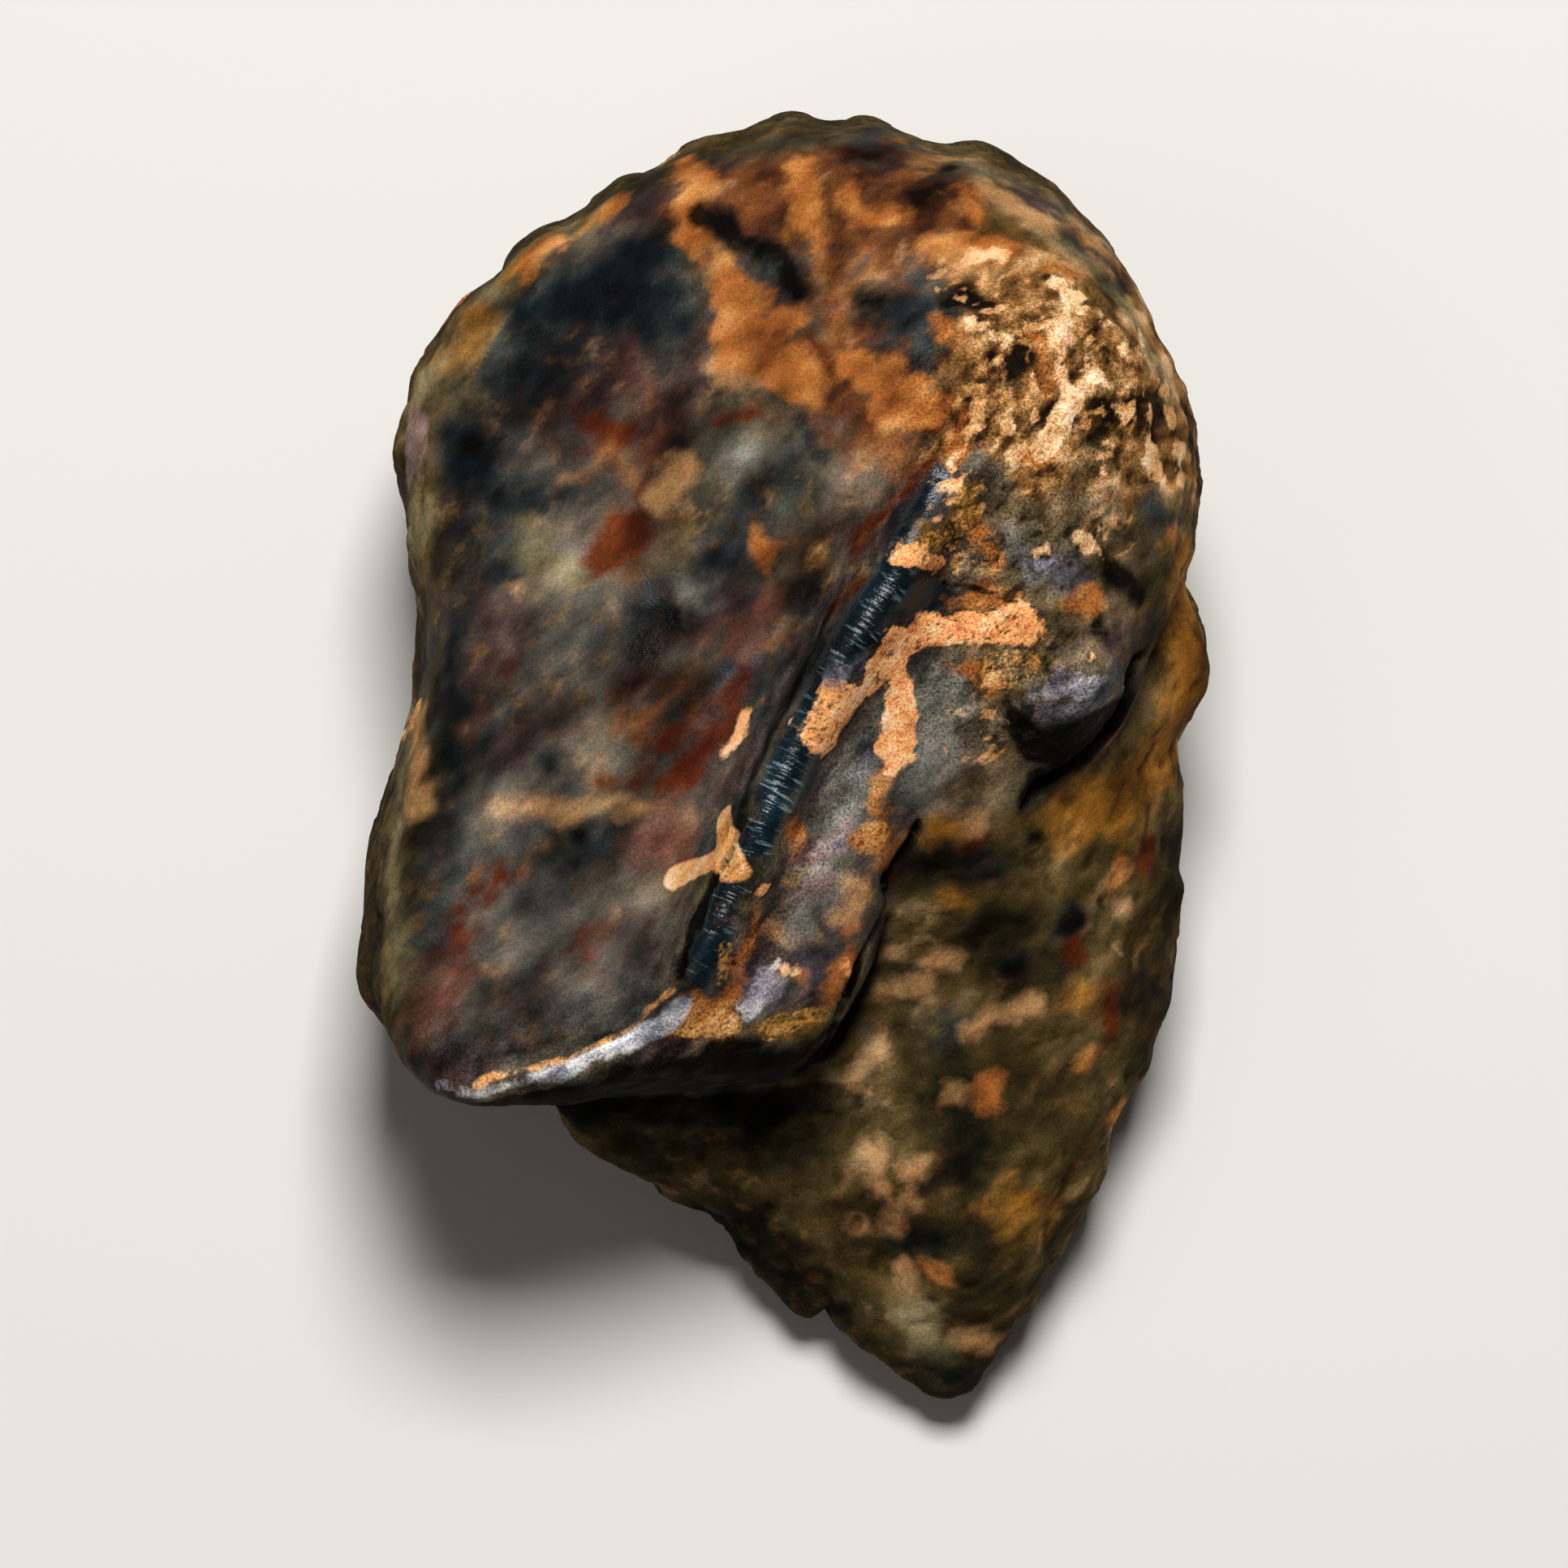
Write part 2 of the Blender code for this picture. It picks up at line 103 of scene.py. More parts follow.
# The crust of the right shoulder: what its flakes fan out from, how far it reaches and fades, where its
# left edge, foot and back lie with the length of their fading, and how ragged it is
FAN_MIDDLE = (4.3, 6.2)
FAN_REACH = (0.3, 1.6, 8.4)
FAN_FADE = 2.5
FAN_SPREAD = 6.5
CRUST_LEFT = (2.9, 1.2)
CRUST_LEAN = (6.0, 0.12)
CRUST_FOOT = (5.6, 1.6)
CRUST_BACK = (6.0, 1.5)
CRUST_RAGGED = (0.5, 1.2)
FLAKE_SIZE = (0.8, 1.0, 3.0)
FLAKE_RISE = 0.1
FLAKE_SHADE = 0.5

# Relief elsewhere: how high and how long its lumps are
SKIN_GROWTH = 0.14
SKIN_LUMPS = (0.08, 1.5)
SKIN_GRIT = (0.03, 0.5)
ROOT_LUMPS = (0.1, 1.6)
ROOT_PITS = (0.07, 0.6)
ROOT_FADE = 0.6
LINE_DRIFT = 0.15

# Painted shade, laid black, on the slope under the base lip: its middle and reach, its tilt, how sharply
# it ends, and how far off the later minerals stay
LIP_MIDDLE = (-2.6, -7.6)
LIP_REACH = (4.0, 1.1)
LIP_TILT = -0.5
LIP_SHARPNESS = 1.5
LIP_MARGIN = 0.1

# Patches scattered at the back: how the skin there faces, their half width, their number of dabs, how
# far apart these lie, and how each swells or shrinks
BACK_TILT = 0.1
SCATTER_WIDTH = (0.15, 0.55)
SCATTER_DABS = (4, 14)
SCATTER_STEP = 0.4
SCATTER_SWELL = (0.8, 1.1)

# A mineral's edge: the length and strength of the waves it wanders by, and how wide its rise is
EDGE_WAVES = [(1.3, 1.0), (0.45, 0.55)]
RISE_EDGE = 0.2

# Outline of the enamel, seen from above, from the knob round by the apex and the base lip
ENAMEL_OUTLINE = [
    (8.4, 1.6), (8.7, 4.6), (9.5, 6.6), (9.2, 10.4), (6.7, 13.4), (2.3, 15.2), (-1.9, 14.4),
    (-4.5, 13.2), (-7.3, 10.8), (-8.4, 8.2), (-8.2, 4.6), (-8.6, 1.6), (-8.7, -1.4), (-8.9, -3.4),
    (-9.1, -7.2), (-8.5, -8.3), (-4.1, -8.4), (-0.3, -8.2), (0.7, -7.4), (1.8, -5.4), (2.4, -4.0),
    (2.6, -2.9), (3.3, -2.0), (5.9, -1.1), (6.5, -0.7), (7.7, 0.3)]
ENAMEL_FLOOR = 5.5


@dataclass(frozen=True)
class Stain:
    """A mineral of the fossil's skin, or painted shade or highlight laid like one: its shades from hollow
    to crest, its gloss, and its edge in mm.

    soft is half the width of its fading; wobble and ragged are how far it wanders finely and broadly.
    rise is how proud it stands. specks is a pattern, its channel, and the level from which it shows,
    within the strokes if dotted and otherwise everywhere. scattered counts its patches at the back.
    """

    name: str
    shades: tuple
    gloss: float
    soft: float
    wobble: float
    ragged: float = 0.4
    strength: float = 1.0
    rise: float = 0.0
    specks: tuple = None
    dotted: bool = False
    scattered: int = 0


# Three matt tints that drift over the whole crown, each from hollow to crest
SMOKE = ("#0b0d0e", "#1a1f21", "#2f3332", "#494943", "#686459")
WINE = ("#0e0908", "#241816", "#3a2a27", "#524039", "#726053")
OLIVE = ("#0f0d08", "#292417", "#423a29", "#5d5039", "#7f6d4f")

# Length of each pattern's specks, in millimetres
SPECK_LENGTH = {"coarse": 1.1, "fine": 0.3, "dust": 0.1}

# Laid in this order, each over the ones before it
STAINS = [
    Stain("ash", ("#242422", "#43403a", "#635e54", "#827b6f"), 0.02, 1.0, 1.4, 0.6, 0.88),
    Stain("night", ("#040607", "#0d1213", "#1b2120", "#33362f"), 0.02, 0.7, 1.4, 0.5, 0.88),
    Stain("wine", ("#0b0504", "#25110e", "#40231d", "#603e33"), 0.0, 0.6, 1.6, 0.5, 0.85),
    Stain("loam", ("#17130c", "#44371f", "#745e40", "#a58a66"), 0.04, 0.7, 2.4, 0.5, 0.85),
    Stain("umber", ("#0f0604", "#3a1c0c", "#74401c", "#ad6c34"), 0.0, 0.6, 3.0, 0.6, 0.9),
    Stain("dentine", ("#121006", "#272010", "#3d3117", "#574626", "#776039"), 0.0, 0.3, 1.6, 0.0),
    # Dark patches, partly painted shade on the root
    Stain("damp_and_shade", ("#030504", "#0b0e09", "#161a12", "#272a1c"), 0.0, 0.9, 2.4, 0.6, 0.92),
    Stain("crust", ("#150c05", "#432b12", "#7a5329", "#ae7f4c", "#dcb080"), 0.0, 0.4, 2.0, 0.0),
    Stain("rim", ("#332e1d", "#60573c", "#897c58", "#ad9c75"), 0.0, 0.4, 1.2, 0.3, 0.85),
    Stain("ochre", ("#4c2c0b", "#94601f", "#c88b40"), 0.0, 0.35, 1.8, 0.3, 0.88,
          specks=("coarse", 0, 0.92), scattered=14),
    Stain("slate", ("#020506", "#0a1215", "#1e2a2c"), 0.02, 0.28, 1.2, 0.35, 0.92,
          specks=("coarse", 1, 0.79), scattered=26),
    Stain("rust", ("#180501", "#451705", "#70300b"), 0.02, 0.2, 1.0, 0.3, 0.94,
          specks=("coarse", 2, 0.82), scattered=22),
    Stain("tan", ("#72502e", "#b98857", "#e8bb86"), 0.0, 0.2, 0.7, 0.2, 0.85, scattered=18),
    Stain("keel", ("#010405", "#041319", "#0c2a33"), 0.5, 0.12, 0.6, 0.1),
    Stain("haze", ("#383732", "#77746a", "#aaa699"), 0.05, 0.4, 1.4, 0.4, 0.85),
    Stain("plum", ("#08080a", "#232328", "#514d57", "#87808b"), 0.1, 0.3, 1.4, 0.3, 0.85),
    Stain("rose", ("#2a120d", "#643a2e", "#976352"), 0.1, 0.4, 2.0, 0.4, 0.75),
    # Pale pink spots, partly painted highlight
    Stain("blush_and_highlight", ("#3d2b2a", "#836660", "#c4a69e"), 0.1, 0.2, 1.0, 0.25, 0.8),
    Stain("amber", ("#5e2c10", "#a8642d", "#dd9f5c"), 0.0, 0.16, 0.9, 0.25, 0.92, 0.01, scattered=24),
    Stain("moss", ("#2a1c0a", "#66491d", "#a1783a"), 0.05, 0.15, 1.2, 0.2, 0.9),
    # Manganese spots, also laid black as painted shade
    Stain("manganese_and_shade", ("#010101", "#030302", "#0b0907", "#2b251d"), 0.0, 0.14, 0.6, 0.15, 0.97,
          scattered=20),
    Stain("soot", ("#010101", "#040302", "#120d07"), 0.02, 0.04, 0.3, 0.0, 0.8,
          specks=("fine", 0, 0.6), dotted=True),
    Stain("vein", ("#b86632", "#f4ac6c", "#ffdfb4"), 0.03, 0.06, 1.0, 0.26, 1.0, 0.05),
    Stain("pits", ("#080402", "#2a150a"), 0.0, 0.03, 0.2, 0.0, 0.85,
          specks=("dust", 2, 0.64), dotted=True),
    Stain("gold", ("#7a5320", "#c08440", "#ebc084"), 0.0, 0.03, 0.2, 0.0, 0.85,
          specks=("dust", 0, 0.55), dotted=True),
    # Painted highlight, pale and glossy
    Stain("wear", ("#24262a", "#85858a", "#dedad4", "#ffffff"), 1.0, 0.06, 0.4, 0.05, 0.95),
    Stain("limescale", ("#80501f", "#d8985a", "#fbdcb0"), 0.0, 0.04, 0.25, 0.05),
    Stain("crack_and_shade", ("#000000", "#030302", "#080605"), 0.0, 0.05, 0.2, 0.05, 0.95),
    # Painted glints, lavender-white and glossy
    Stain("painted_glints", ("#131217", "#4a4750", "#a09ba2", "#fbf7f8"), 0.6, 0.16, 1.4, 0.1, 0.85),
    Stain("lime", ("#6a4522", "#bf8a54", "#eec696", "#fff0da"), 0.0, 0.07, 1.1, 0.2, 1.0, 0.05,
          scattered=8),
    Stain("sand", ("#8a5a2a", "#c98f55", "#edc697"), 0.0, 0.04, 0.2, 0.0, 0.8,
          specks=("fine", 1, 0.62), dotted=True),
]

# Each mineral's strokes
STROKES = {}
STROKES["ash"] = [
    [(-6.6, -2.6, 1.9), (-5.4, -4.6, 1.9), (-6.6, -6.4, 1.2)], [(-3.6, -4.6, 1.3), (-4.6, -6.2, 1.0)],
    [(-4.6, 0.8, 0.9), (-5.4, 4.6, 0.8)], [(-6.2, 7.2, 0.6)], [(-1.4, 7.6, 0.7), (0.4, 7.0, 0.6)],
    [(2.0, 0.2, 0.6), (1.2, -1.4, 0.8), (1.0, -3.2, 0.8), (0.4, -4.2, 0.5)],
    [(3.6, 1.8, 1.0), (4.2, 0.6, 1.0), (3.2, -0.6, 0.8)]]
STROKES["night"] = [
    [(-6.2, 10.6, 1.0), (-4.6, 11.4, 1.2), (-3.2, 12.0, 0.8)], [(-4.6, 9.8, 1.0), (-3.2, 10.4, 0.8)],
    [(-7.6, 8.0, 0.6), (-7.5, 7.2, 0.7)], [(-5.8, 9.6, 0.8), (-5.0, 9.0, 0.5)],
    [(-7.0, 9.2, 0.5), (-6.0, 8.2, 0.6)],
    [(-7.7, 5.2, 0.45), (-8.0, 3.0, 0.5), (-8.1, 0.4, 0.5), (-8.1, -0.8, 0.4)],
    [(-6.3, 6.1, 0.45), (-4.7, 6.3, 0.45), (-4.3, 6.6, 0.3)], [(-0.4, 6.4, 0.5), (0.6, 6.0, 0.5)],
    [(-5.1, -2.3, 0.55), (-4.3, -1.7, 0.4)], [(-8.4, -3.0, 0.4), (-8.7, -4.6, 0.25)]]
STROKES["wine"] = [
    [(-5.4, 8.4, 0.5), (-4.4, 8.0, 0.7), (-3.4, 7.6, 0.6)], [(-3.6, 9.4, 0.8), (-2.6, 9.8, 0.5)],
    [(-2.6, 3.6, 0.7), (-1.4, 3.3, 0.8), (-0.6, 2.8, 0.5)], [(0.2, 4.8, 0.5), (1.4, 5.4, 0.4)],
    [(-7.7, 0.7, 0.5), (-7.1, 1.8, 0.4)], [(-5.3, 0.9, 0.45), (-5.0, 1.2, 0.3)],
    [(-4.0, 1.4, 0.5), (-2.9, 1.8, 0.4)], [(-6.9, -3.0, 0.4), (-7.3, -3.6, 0.3)],
    [(-7.8, -4.3, 0.4), (-8.0, -5.4, 0.5), (-8.5, -6.3, 0.4)], [(-4.7, -4.5, 0.4)],
    [(-3.9, -4.2, 0.5), (-3.3, -4.8, 0.5)], [(-3.9, -2.4, 0.5), (-2.8, -2.8, 0.5)],
    [(-6.2, -5.8, 0.3), (-6.5, -6.8, 0.35)], [(-8.9, -6.8, 0.3)]]
STROKES["loam"] = [
    [(6.4, 5.4, 1.9), (6.0, 3.4, 1.8), (4.8, 1.6, 1.2)], [(4.6, 8.4, 1.3), (7.2, 8.6, 2.4)],
    [(5.2, -0.2, 0.8), (4.2, -0.9, 0.6)], [(8.2, 5.6, 0.7), (8.6, 3.9, 0.8), (8.5, 2.7, 0.5)],
    [(-2.5, 5.6, 0.35), (-2.5, 4.8, 0.45)], [(-4.2, 0.5, 0.4), (-4.1, -0.4, 0.35)]]
STROKES["rim"] = [
    [(-8.9, 5.9, 0.55), (-8.9, 4.2, 0.45), (-9.1, 2.4, 0.4), (-9.1, 0.4, 0.4), (-9.3, -1.2, 0.4),
     (-9.5, -3.6, 0.4), (-9.3, -5.6, 0.3)],
    [(-8.8, 9.0, 0.45), (-7.8, 9.8, 0.4), (-7.0, 10.9, 0.5), (-6.9, 11.6, 0.4), (-5.8, 12.4, 0.4),
     (-4.3, 13.3, 0.4)], [(-6.2, 4.8, 0.4), (-5.5, 4.3, 0.4)],
    [(5.4, 13.2, 0.4), (6.6, 12.5, 0.5), (7.8, 11.4, 0.5), (8.7, 10.0, 0.45), (9.3, 8.8, 0.3)],
    [(3.5, -14.0, 0.5), (4.0, -15.2, 0.4)]]
# Dark patches; the first two strokes are painted shade: the crown's shade on the root's left and the lip's
# soft shadow
STROKES["damp_and_shade"] = [
    [(-3.8, -9.6, 0.6), (-2.8, -10.6, 1.0), (-1.4, -11.4, 1.4), (0.2, -12.6, 1.0), (1.6, -13.8, 0.7)],
    [(-4.8, -9.0, 0.5), (-2.6, -9.4, 0.9), (-0.4, -9.6, 0.9), (1.0, -9.0, 0.6)],
    [(3.0, -2.6, 0.3), (4.2, -2.2, 0.3)], [(5.4, -5.2, 0.6), (6.8, -4.4, 0.5)],
    [(3.6, -6.8, 0.6), (4.4, -9.8, 0.8)], [(8.2, -0.9, 0.3), (9.0, -1.1, 0.25)],
    [(-0.8, 6.5, 0.35), (0.2, 6.4, 0.5), (0.7, 6.0, 0.3)]]
STROKES["umber"] = [
    [(-1.8, 13.6, 1.0), (0.6, 13.4, 1.6), (3.2, 13.0, 1.8), (4.6, 12.6, 1.2)],
    [(0.7, 12.4, 0.8), (1.2, 11.2, 1.0), (1.6, 10.2, 0.9), (1.4, 8.9, 1.2), (3.0, 7.8, 0.9)],
    [(-4.2, 7.2, 0.5), (-3.6, 7.4, 0.6)], [(-3.2, 0.9, 0.7), (-2.2, 1.2, 0.6)]]
STROKES["ochre"] = [
    [(9.6, 4.4, 0.7), (9.9, 2.4, 0.9), (9.4, 0.4, 0.9), (8.2, -1.0, 0.9), (6.8, -1.6, 0.7)],
    [(-6.6, 11.7, 0.3), (-5.8, 12.3, 0.45)], [(-4.5, 13.2, 0.4)], [(-7.3, 10.6, 0.4), (-7.9, 9.7, 0.35)],
    [(3.5, -1.6, 0.3), (4.1, -1.8, 0.3)], [(4.1, -3.3, 0.25), (4.5, -3.4, 0.25)], [(7.2, -5.8, 0.3)],
    [(5.3, -11.2, 0.4), (6.3, -11.3, 0.4)], [(2.7, 14.9, 0.25), (3.6, 14.4, 0.25)]]
STROKES["slate"] = [
    [(-7.9, 8.0, 0.5), (-7.4, 7.0, 0.65)], [(-5.1, 6.3, 0.35), (-4.2, 6.6, 0.4)],
    [(-6.7, 6.2, 0.35), (-6.0, 6.0, 0.3)], [(-3.8, 12.3, 0.6), (-2.7, 12.2, 0.6)],
    [(-6.2, 10.9, 0.6), (-4.4, 11.3, 0.9), (-2.9, 11.0, 0.8), (-2.6, 9.6, 0.5)],
    [(-1.8, 13.1, 0.45), (-1.0, 12.4, 0.4)], [(-0.4, 12.4, 0.4), (0.1, 11.5, 0.45), (0.5, 11.0, 0.25)],
    [(2.2, 11.0, 0.35)], [(0.5, 7.8, 0.35), (1.2, 7.3, 0.4)], [(-1.8, 4.8, 0.3), (-0.9, 4.7, 0.3)],
    [(-3.5, 3.4, 0.25), (-3.1, 3.6, 0.2), (-2.7, 3.2, 0.3)],
    [(-5.4, -1.6, 0.3), (-4.6, -2.0, 0.5), (-4.2, -1.7, 0.3)], [(-5.6, -0.3, 0.3)],
    [(-7.9, 2.9, 0.4), (-8.0, 1.8, 0.35), (-8.1, -0.6, 0.35)], [(-6.8, 4.3, 0.4)],
    [(-4.4, -7.0, 0.3), (-3.8, -6.9, 0.3)], [(4.6, -2.5, 0.4), (5.2, -2.7, 0.4)], [(7.1, -3.9, 0.45)],
    [(4.0, -6.4, 0.35), (4.0, -7.0, 0.3)], [(2.9, -11.9, 0.4), (3.8, -12.1, 0.4)], [(5.6, -5.2, 0.35)],
    [(3.7, -15.2, 0.3), (4.6, -15.3, 0.3)], [(2.7, -5.1, 0.2), (3.2, -5.2, 0.2)], [(8.8, -1.1, 0.25)],
    [(2.6, 5.2, 0.3), (3.2, 5.9, 0.3)]]
STROKES["rust"] = [
    [(-4.3, 4.75, 0.7), (-3.85, 5.4, 0.72)], [(-5.0, 8.1, 0.25), (-3.9, 7.8, 0.35)],
    [(-1.7, 8.2, 0.2), (-1.2, 8.3, 0.28), (-0.6, 8.45, 0.22)],
    [(-4.4, -0.9, 0.22), (-3.4, -0.65, 0.32), (-2.5, -0.6, 0.45), (-1.9, 0.1, 0.42), (-1.3, 0.9, 0.3),
     (-0.9, 1.8, 0.2)], [(-2.6, 0.3, 0.3)], [(-6.9, -2.75, 0.34), (-7.1, -3.4, 0.3)],
    [(-7.8, -4.3, 0.4), (-8.0, -5.1, 0.3)], [(-4.7, -4.5, 0.3)], [(-6.7, 2.0, 0.18)],
    [(3.6, 8.0, 0.3), (4.6, 7.9, 0.25)], [(3.6, 7.2, 0.25), (2.5, 5.9, 0.3), (1.7, 4.8, 0.25)],
    [(7.2, -4.8, 0.35)], [(7.9, -6.0, 0.35), (7.9, -6.8, 0.3)], [(8.8, -2.4, 0.5)], [(4.6, -2.1, 0.22)],
    [(1.2, 14.7, 0.25), (2.6, 14.6, 0.3)], [(2.0, 4.0, 0.3), (1.2, 3.4, 0.2)],
    [(0.6, 9.9, 0.3), (1.0, 9.2, 0.3)], [(4.2, 3.4, 0.2), (5.0, 4.2, 0.25)], [(2.5, -2.95, 0.2)]]
STROKES["rose"] = [
    [(-7.9, -5.1, 0.4), (-8.2, -5.8, 0.5), (-8.6, -6.6, 0.4)], [(-4.5, -4.6, 0.3)],
    [(-2.8, -1.6, 0.6), (-3.2, -2.6, 0.5)], [(0.4, -2.4, 0.3)], [(-1.2, 2.6, 0.5), (-0.4, 3.6, 0.4)],
    [(2.1, -4.0, 0.1), (1.6, -4.7, 0.14)]]
# Pale pink spots; the first four strokes paint soft pinkish highlights on the lower right face
STROKES["blush_and_highlight"] = [
    [(-1.2, -4.0, 0.1), (-1.15, -4.8, 0.2), (-1.1, -5.6, 0.3)],
    [(0.7, -2.5, 0.24), (1.15, -2.1, 0.32), (1.6, -1.75, 0.24)], [(-0.5, -5.6, 0.3)],
    [(0.2, -3.5, 0.2), (0.9, -3.0, 0.26)], [(2.6, 1.2, 0.25), (2.6, 0.3, 0.3)],
    [(-8.85, 8.0, 0.4), (-9.0, 7.3, 0.45)]]
STROKES["tan"] = [
    [(-3.05, 6.25, 0.36), (-2.55, 6.85, 0.4)], [(-1.5, 9.5, 0.4), (-0.9, 9.2, 0.35)],
    [(-8.9, 0.9, 0.26), (-8.9, -1.3, 0.3)],
    [(-6.74, -1.4, 0.26), (-5.9, -1.32, 0.24), (-4.8, -1.27, 0.16), (-3.0, -1.3, 0.08)],
    [(-2.4, -1.6, 0.2)], [(-6.6, 4.0, 0.15)], [(2.0, -9.6, 0.35), (2.4, -9.9, 0.3)], [(3.2, -10.2, 0.3)],
    [(2.4, -10.5, 0.3)], [(3.0, -10.9, 0.25), (2.7, -11.5, 0.25)], [(3.0, -12.6, 0.2), (3.1, -13.1, 0.2)],
    [(3.5, -4.9, 0.2), (4.0, -4.9, 0.2)], [(2.2, -4.8, 0.2), (2.7, -4.7, 0.15)],
    [(2.0, -5.7, 0.3), (2.8, -5.6, 0.25), (3.5, -5.6, 0.2)], [(4.5, -6.6, 0.2), (6.1, -6.1, 0.2)],
    [(8.1, -3.7, 0.3)], [(4.4, -14.2, 0.3), (5.1, -14.4, 0.3)], [(4.6, -1.6, 0.3)], [(4.25, -8.2, 0.25)],
    [(1.7, -3.2, 0.24), (1.35, -4.0, 0.22)], [(0.1, -3.2, 0.18), (0.5, -2.8, 0.2)],
    [(-0.4, -4.1, 0.2), (0.1, -4.4, 0.24), (0.7, -4.46, 0.2)], [(5.0, 13.6, 0.4), (6.2, 12.9, 0.5)],
    [(1.6, -7.9, 0.3), (2.4, -7.3, 0.2)], [(1.9, -11.6, 0.25)]]
STROKES["amber"] = [
    [(-1.5, 12.0, 0.32), (-1.3, 11.3, 0.45), (-0.9, 10.5, 0.7), (-0.6, 9.9, 0.75), (0.1, 9.4, 0.65),
     (0.7, 8.8, 0.45)], [(-0.2, 10.6, 0.4), (0.3, 10.5, 0.25)], [(-1.4, 10.2, 0.4), (-1.3, 9.6, 0.35)],
    [(-2.4, 14.4, 0.35), (-2.0, 14.0, 0.45), (-2.2, 13.3, 0.4), (-2.0, 12.6, 0.35)],
    [(0.4, 14.2, 0.3), (0.5, 13.2, 0.4), (0.9, 12.3, 0.3)],
    [(1.6, 13.7, 0.3), (1.9, 13.2, 0.35), (2.6, 12.9, 0.3), (3.0, 13.1, 0.2)],
    [(4.3, 13.5, 0.35), (4.6, 13.1, 0.3)], [(-4.2, 13.4, 0.45)], [(-6.2, 11.8, 0.35), (-5.6, 12.3, 0.45)],
    [(1.6, 9.4, 0.4), (2.6, 9.0, 0.5), (3.5, 8.4, 0.5), (2.6, 8.2, 0.4)],
    [(3.5, 12.1, 0.35), (4.3, 12.2, 0.45), (5.2, 12.2, 0.4)], [(4.2, 7.7, 0.3), (4.4, 7.2, 0.3)],
    [(-0.4, 4.9, 0.42)], [(6.3, 11.8, 0.2), (7.1, 11.4, 0.25)], [(3.8, 10.4, 0.25), (4.3, 10.0, 0.2)],
    [(6.1, 9.9, 0.25), (6.3, 9.0, 0.25), (6.1, 8.4, 0.12)], [(5.9, 7.2, 0.25), (6.7, 7.3, 0.2)],
    [(8.8, 9.0, 0.22)], [(8.4, 10.2, 0.2)], [(9.2, 5.3, 0.36)], [(6.9, 3.45, 0.3), (7.4, 3.75, 0.36)],
    [(4.3, 3.8, 0.3), (4.9, 3.8, 0.36), (5.5, 3.5, 0.3)], [(4.3, 2.0, 0.28), (4.9, 1.7, 0.33)],
    [(2.4, -0.4, 0.3), (2.2, -1.3, 0.2)], [(4.5, 5.9, 0.25), (4.8, 5.1, 0.3), (5.2, 4.6, 0.25)],
    [(1.9, -2.0, 0.3), (2.4, -2.4, 0.35), (2.8, -1.9, 0.22)],
    [(-0.75, -3.6, 0.15), (-0.98, -4.4, 0.2), (-1.15, -5.2, 0.22), (-1.25, -5.8, 0.24)],
    [(0.14, -1.8, 0.4)], [(-2.6, -6.5, 0.3), (-2.2, -6.2, 0.42), (-1.8, -6.4, 0.5), (-1.4, -6.6, 0.3)],
    [(1.6, -4.2, 0.14), (1.4, -4.8, 0.24), (1.2, -5.5, 0.3), (0.9, -6.0, 0.25)],
    [(-0.08, -3.2, 0.05), (-0.08, -3.7, 0.05)], [(5.88, -0.12, 0.08)], [(0.26, -5.5, 0.1)],
    [(4.95, -8.05, 0.36), (5.0, -8.5, 0.32)], [(7.4, -7.5, 0.35)],
    [(3.6, -12.5, 0.25), (4.0, -12.7, 0.25)], [(8.2, -2.6, 0.22), (8.2, -3.0, 0.22)]]
STROKES["keel"] = [
    [(3.9, 6.9, 0.2), (2.9, 4.8, 0.3), (1.8, 2.9, 0.36), (0.7, 1.0, 0.3), (0.15, -0.3, 0.26),
     (-0.35, -1.3, 0.27), (-0.72, -2.2, 0.24), (-1.1, -2.9, 0.2), (-1.55, -4.0, 0.28),
     (-1.85, -4.7, 0.32), (-2.1, -5.4, 0.3)], [(2.6, 3.9, 0.4), (3.4, 3.8, 0.4), (4.0, 3.9, 0.2)],
    [(0.6, -0.3, 0.3), (0.3, -0.9, 0.25)]]
# Pale grey ground; the stroke at (-1.3, 7.0) paints a soft highlight
STROKES["haze"] = [
    [(2.2, 0.4, 0.3), (1.5, -1.0, 0.45), (1.0, -2.2, 0.3), (0.7, -3.4, 0.45)],
    [(3.8, 1.4, 0.5), (3.6, 0.4, 0.6), (3.2, -0.6, 0.4)], [(6.2, 4.4, 0.4), (5.6, 5.2, 0.3)],
    [(-1.3, 7.0, 0.2), (-0.8, 7.25, 0.25)], [(-2.05, 3.95, 0.35)], [(0.7, -3.1, 0.6), (0.4, -4.2, 0.5)],
    [(1.5, -0.9, 0.5), (1.2, -1.9, 0.5)]]
STROKES["plum"] = [
    [(6.0, 1.3, 0.2), (6.6, 1.2, 0.25), (7.3, 1.1, 0.3)], [(0.5, -2.5, 0.3)],
    [(0.6, -4.8, 0.3), (0.6, -5.6, 0.35)], [(-0.3, -5.9, 0.4), (-0.8, -5.4, 0.35)], [(1.9, 0.2, 0.3)],
    [(6.6, 4.5, 0.5), (7.2, 4.2, 0.4)]]
STROKES["moss"] = [
    [(-0.4, -6.6, 0.35), (0.4, -6.5, 0.42), (0.9, -6.2, 0.32), (1.25, -5.8, 0.2)],
    [(-2.0, -6.9, 0.1), (-1.4, -6.9, 0.15)], [(3.4, 5.0, 0.3), (4.2, 5.6, 0.4), (4.5, 6.4, 0.3)],
    [(7.9, 1.7, 0.2), (7.9, 1.3, 0.15)], [(5.2, 13.0, 0.3), (6.4, 12.2, 0.3)],
    [(7.4, 11.2, 0.35), (8.3, 9.9, 0.25)]]
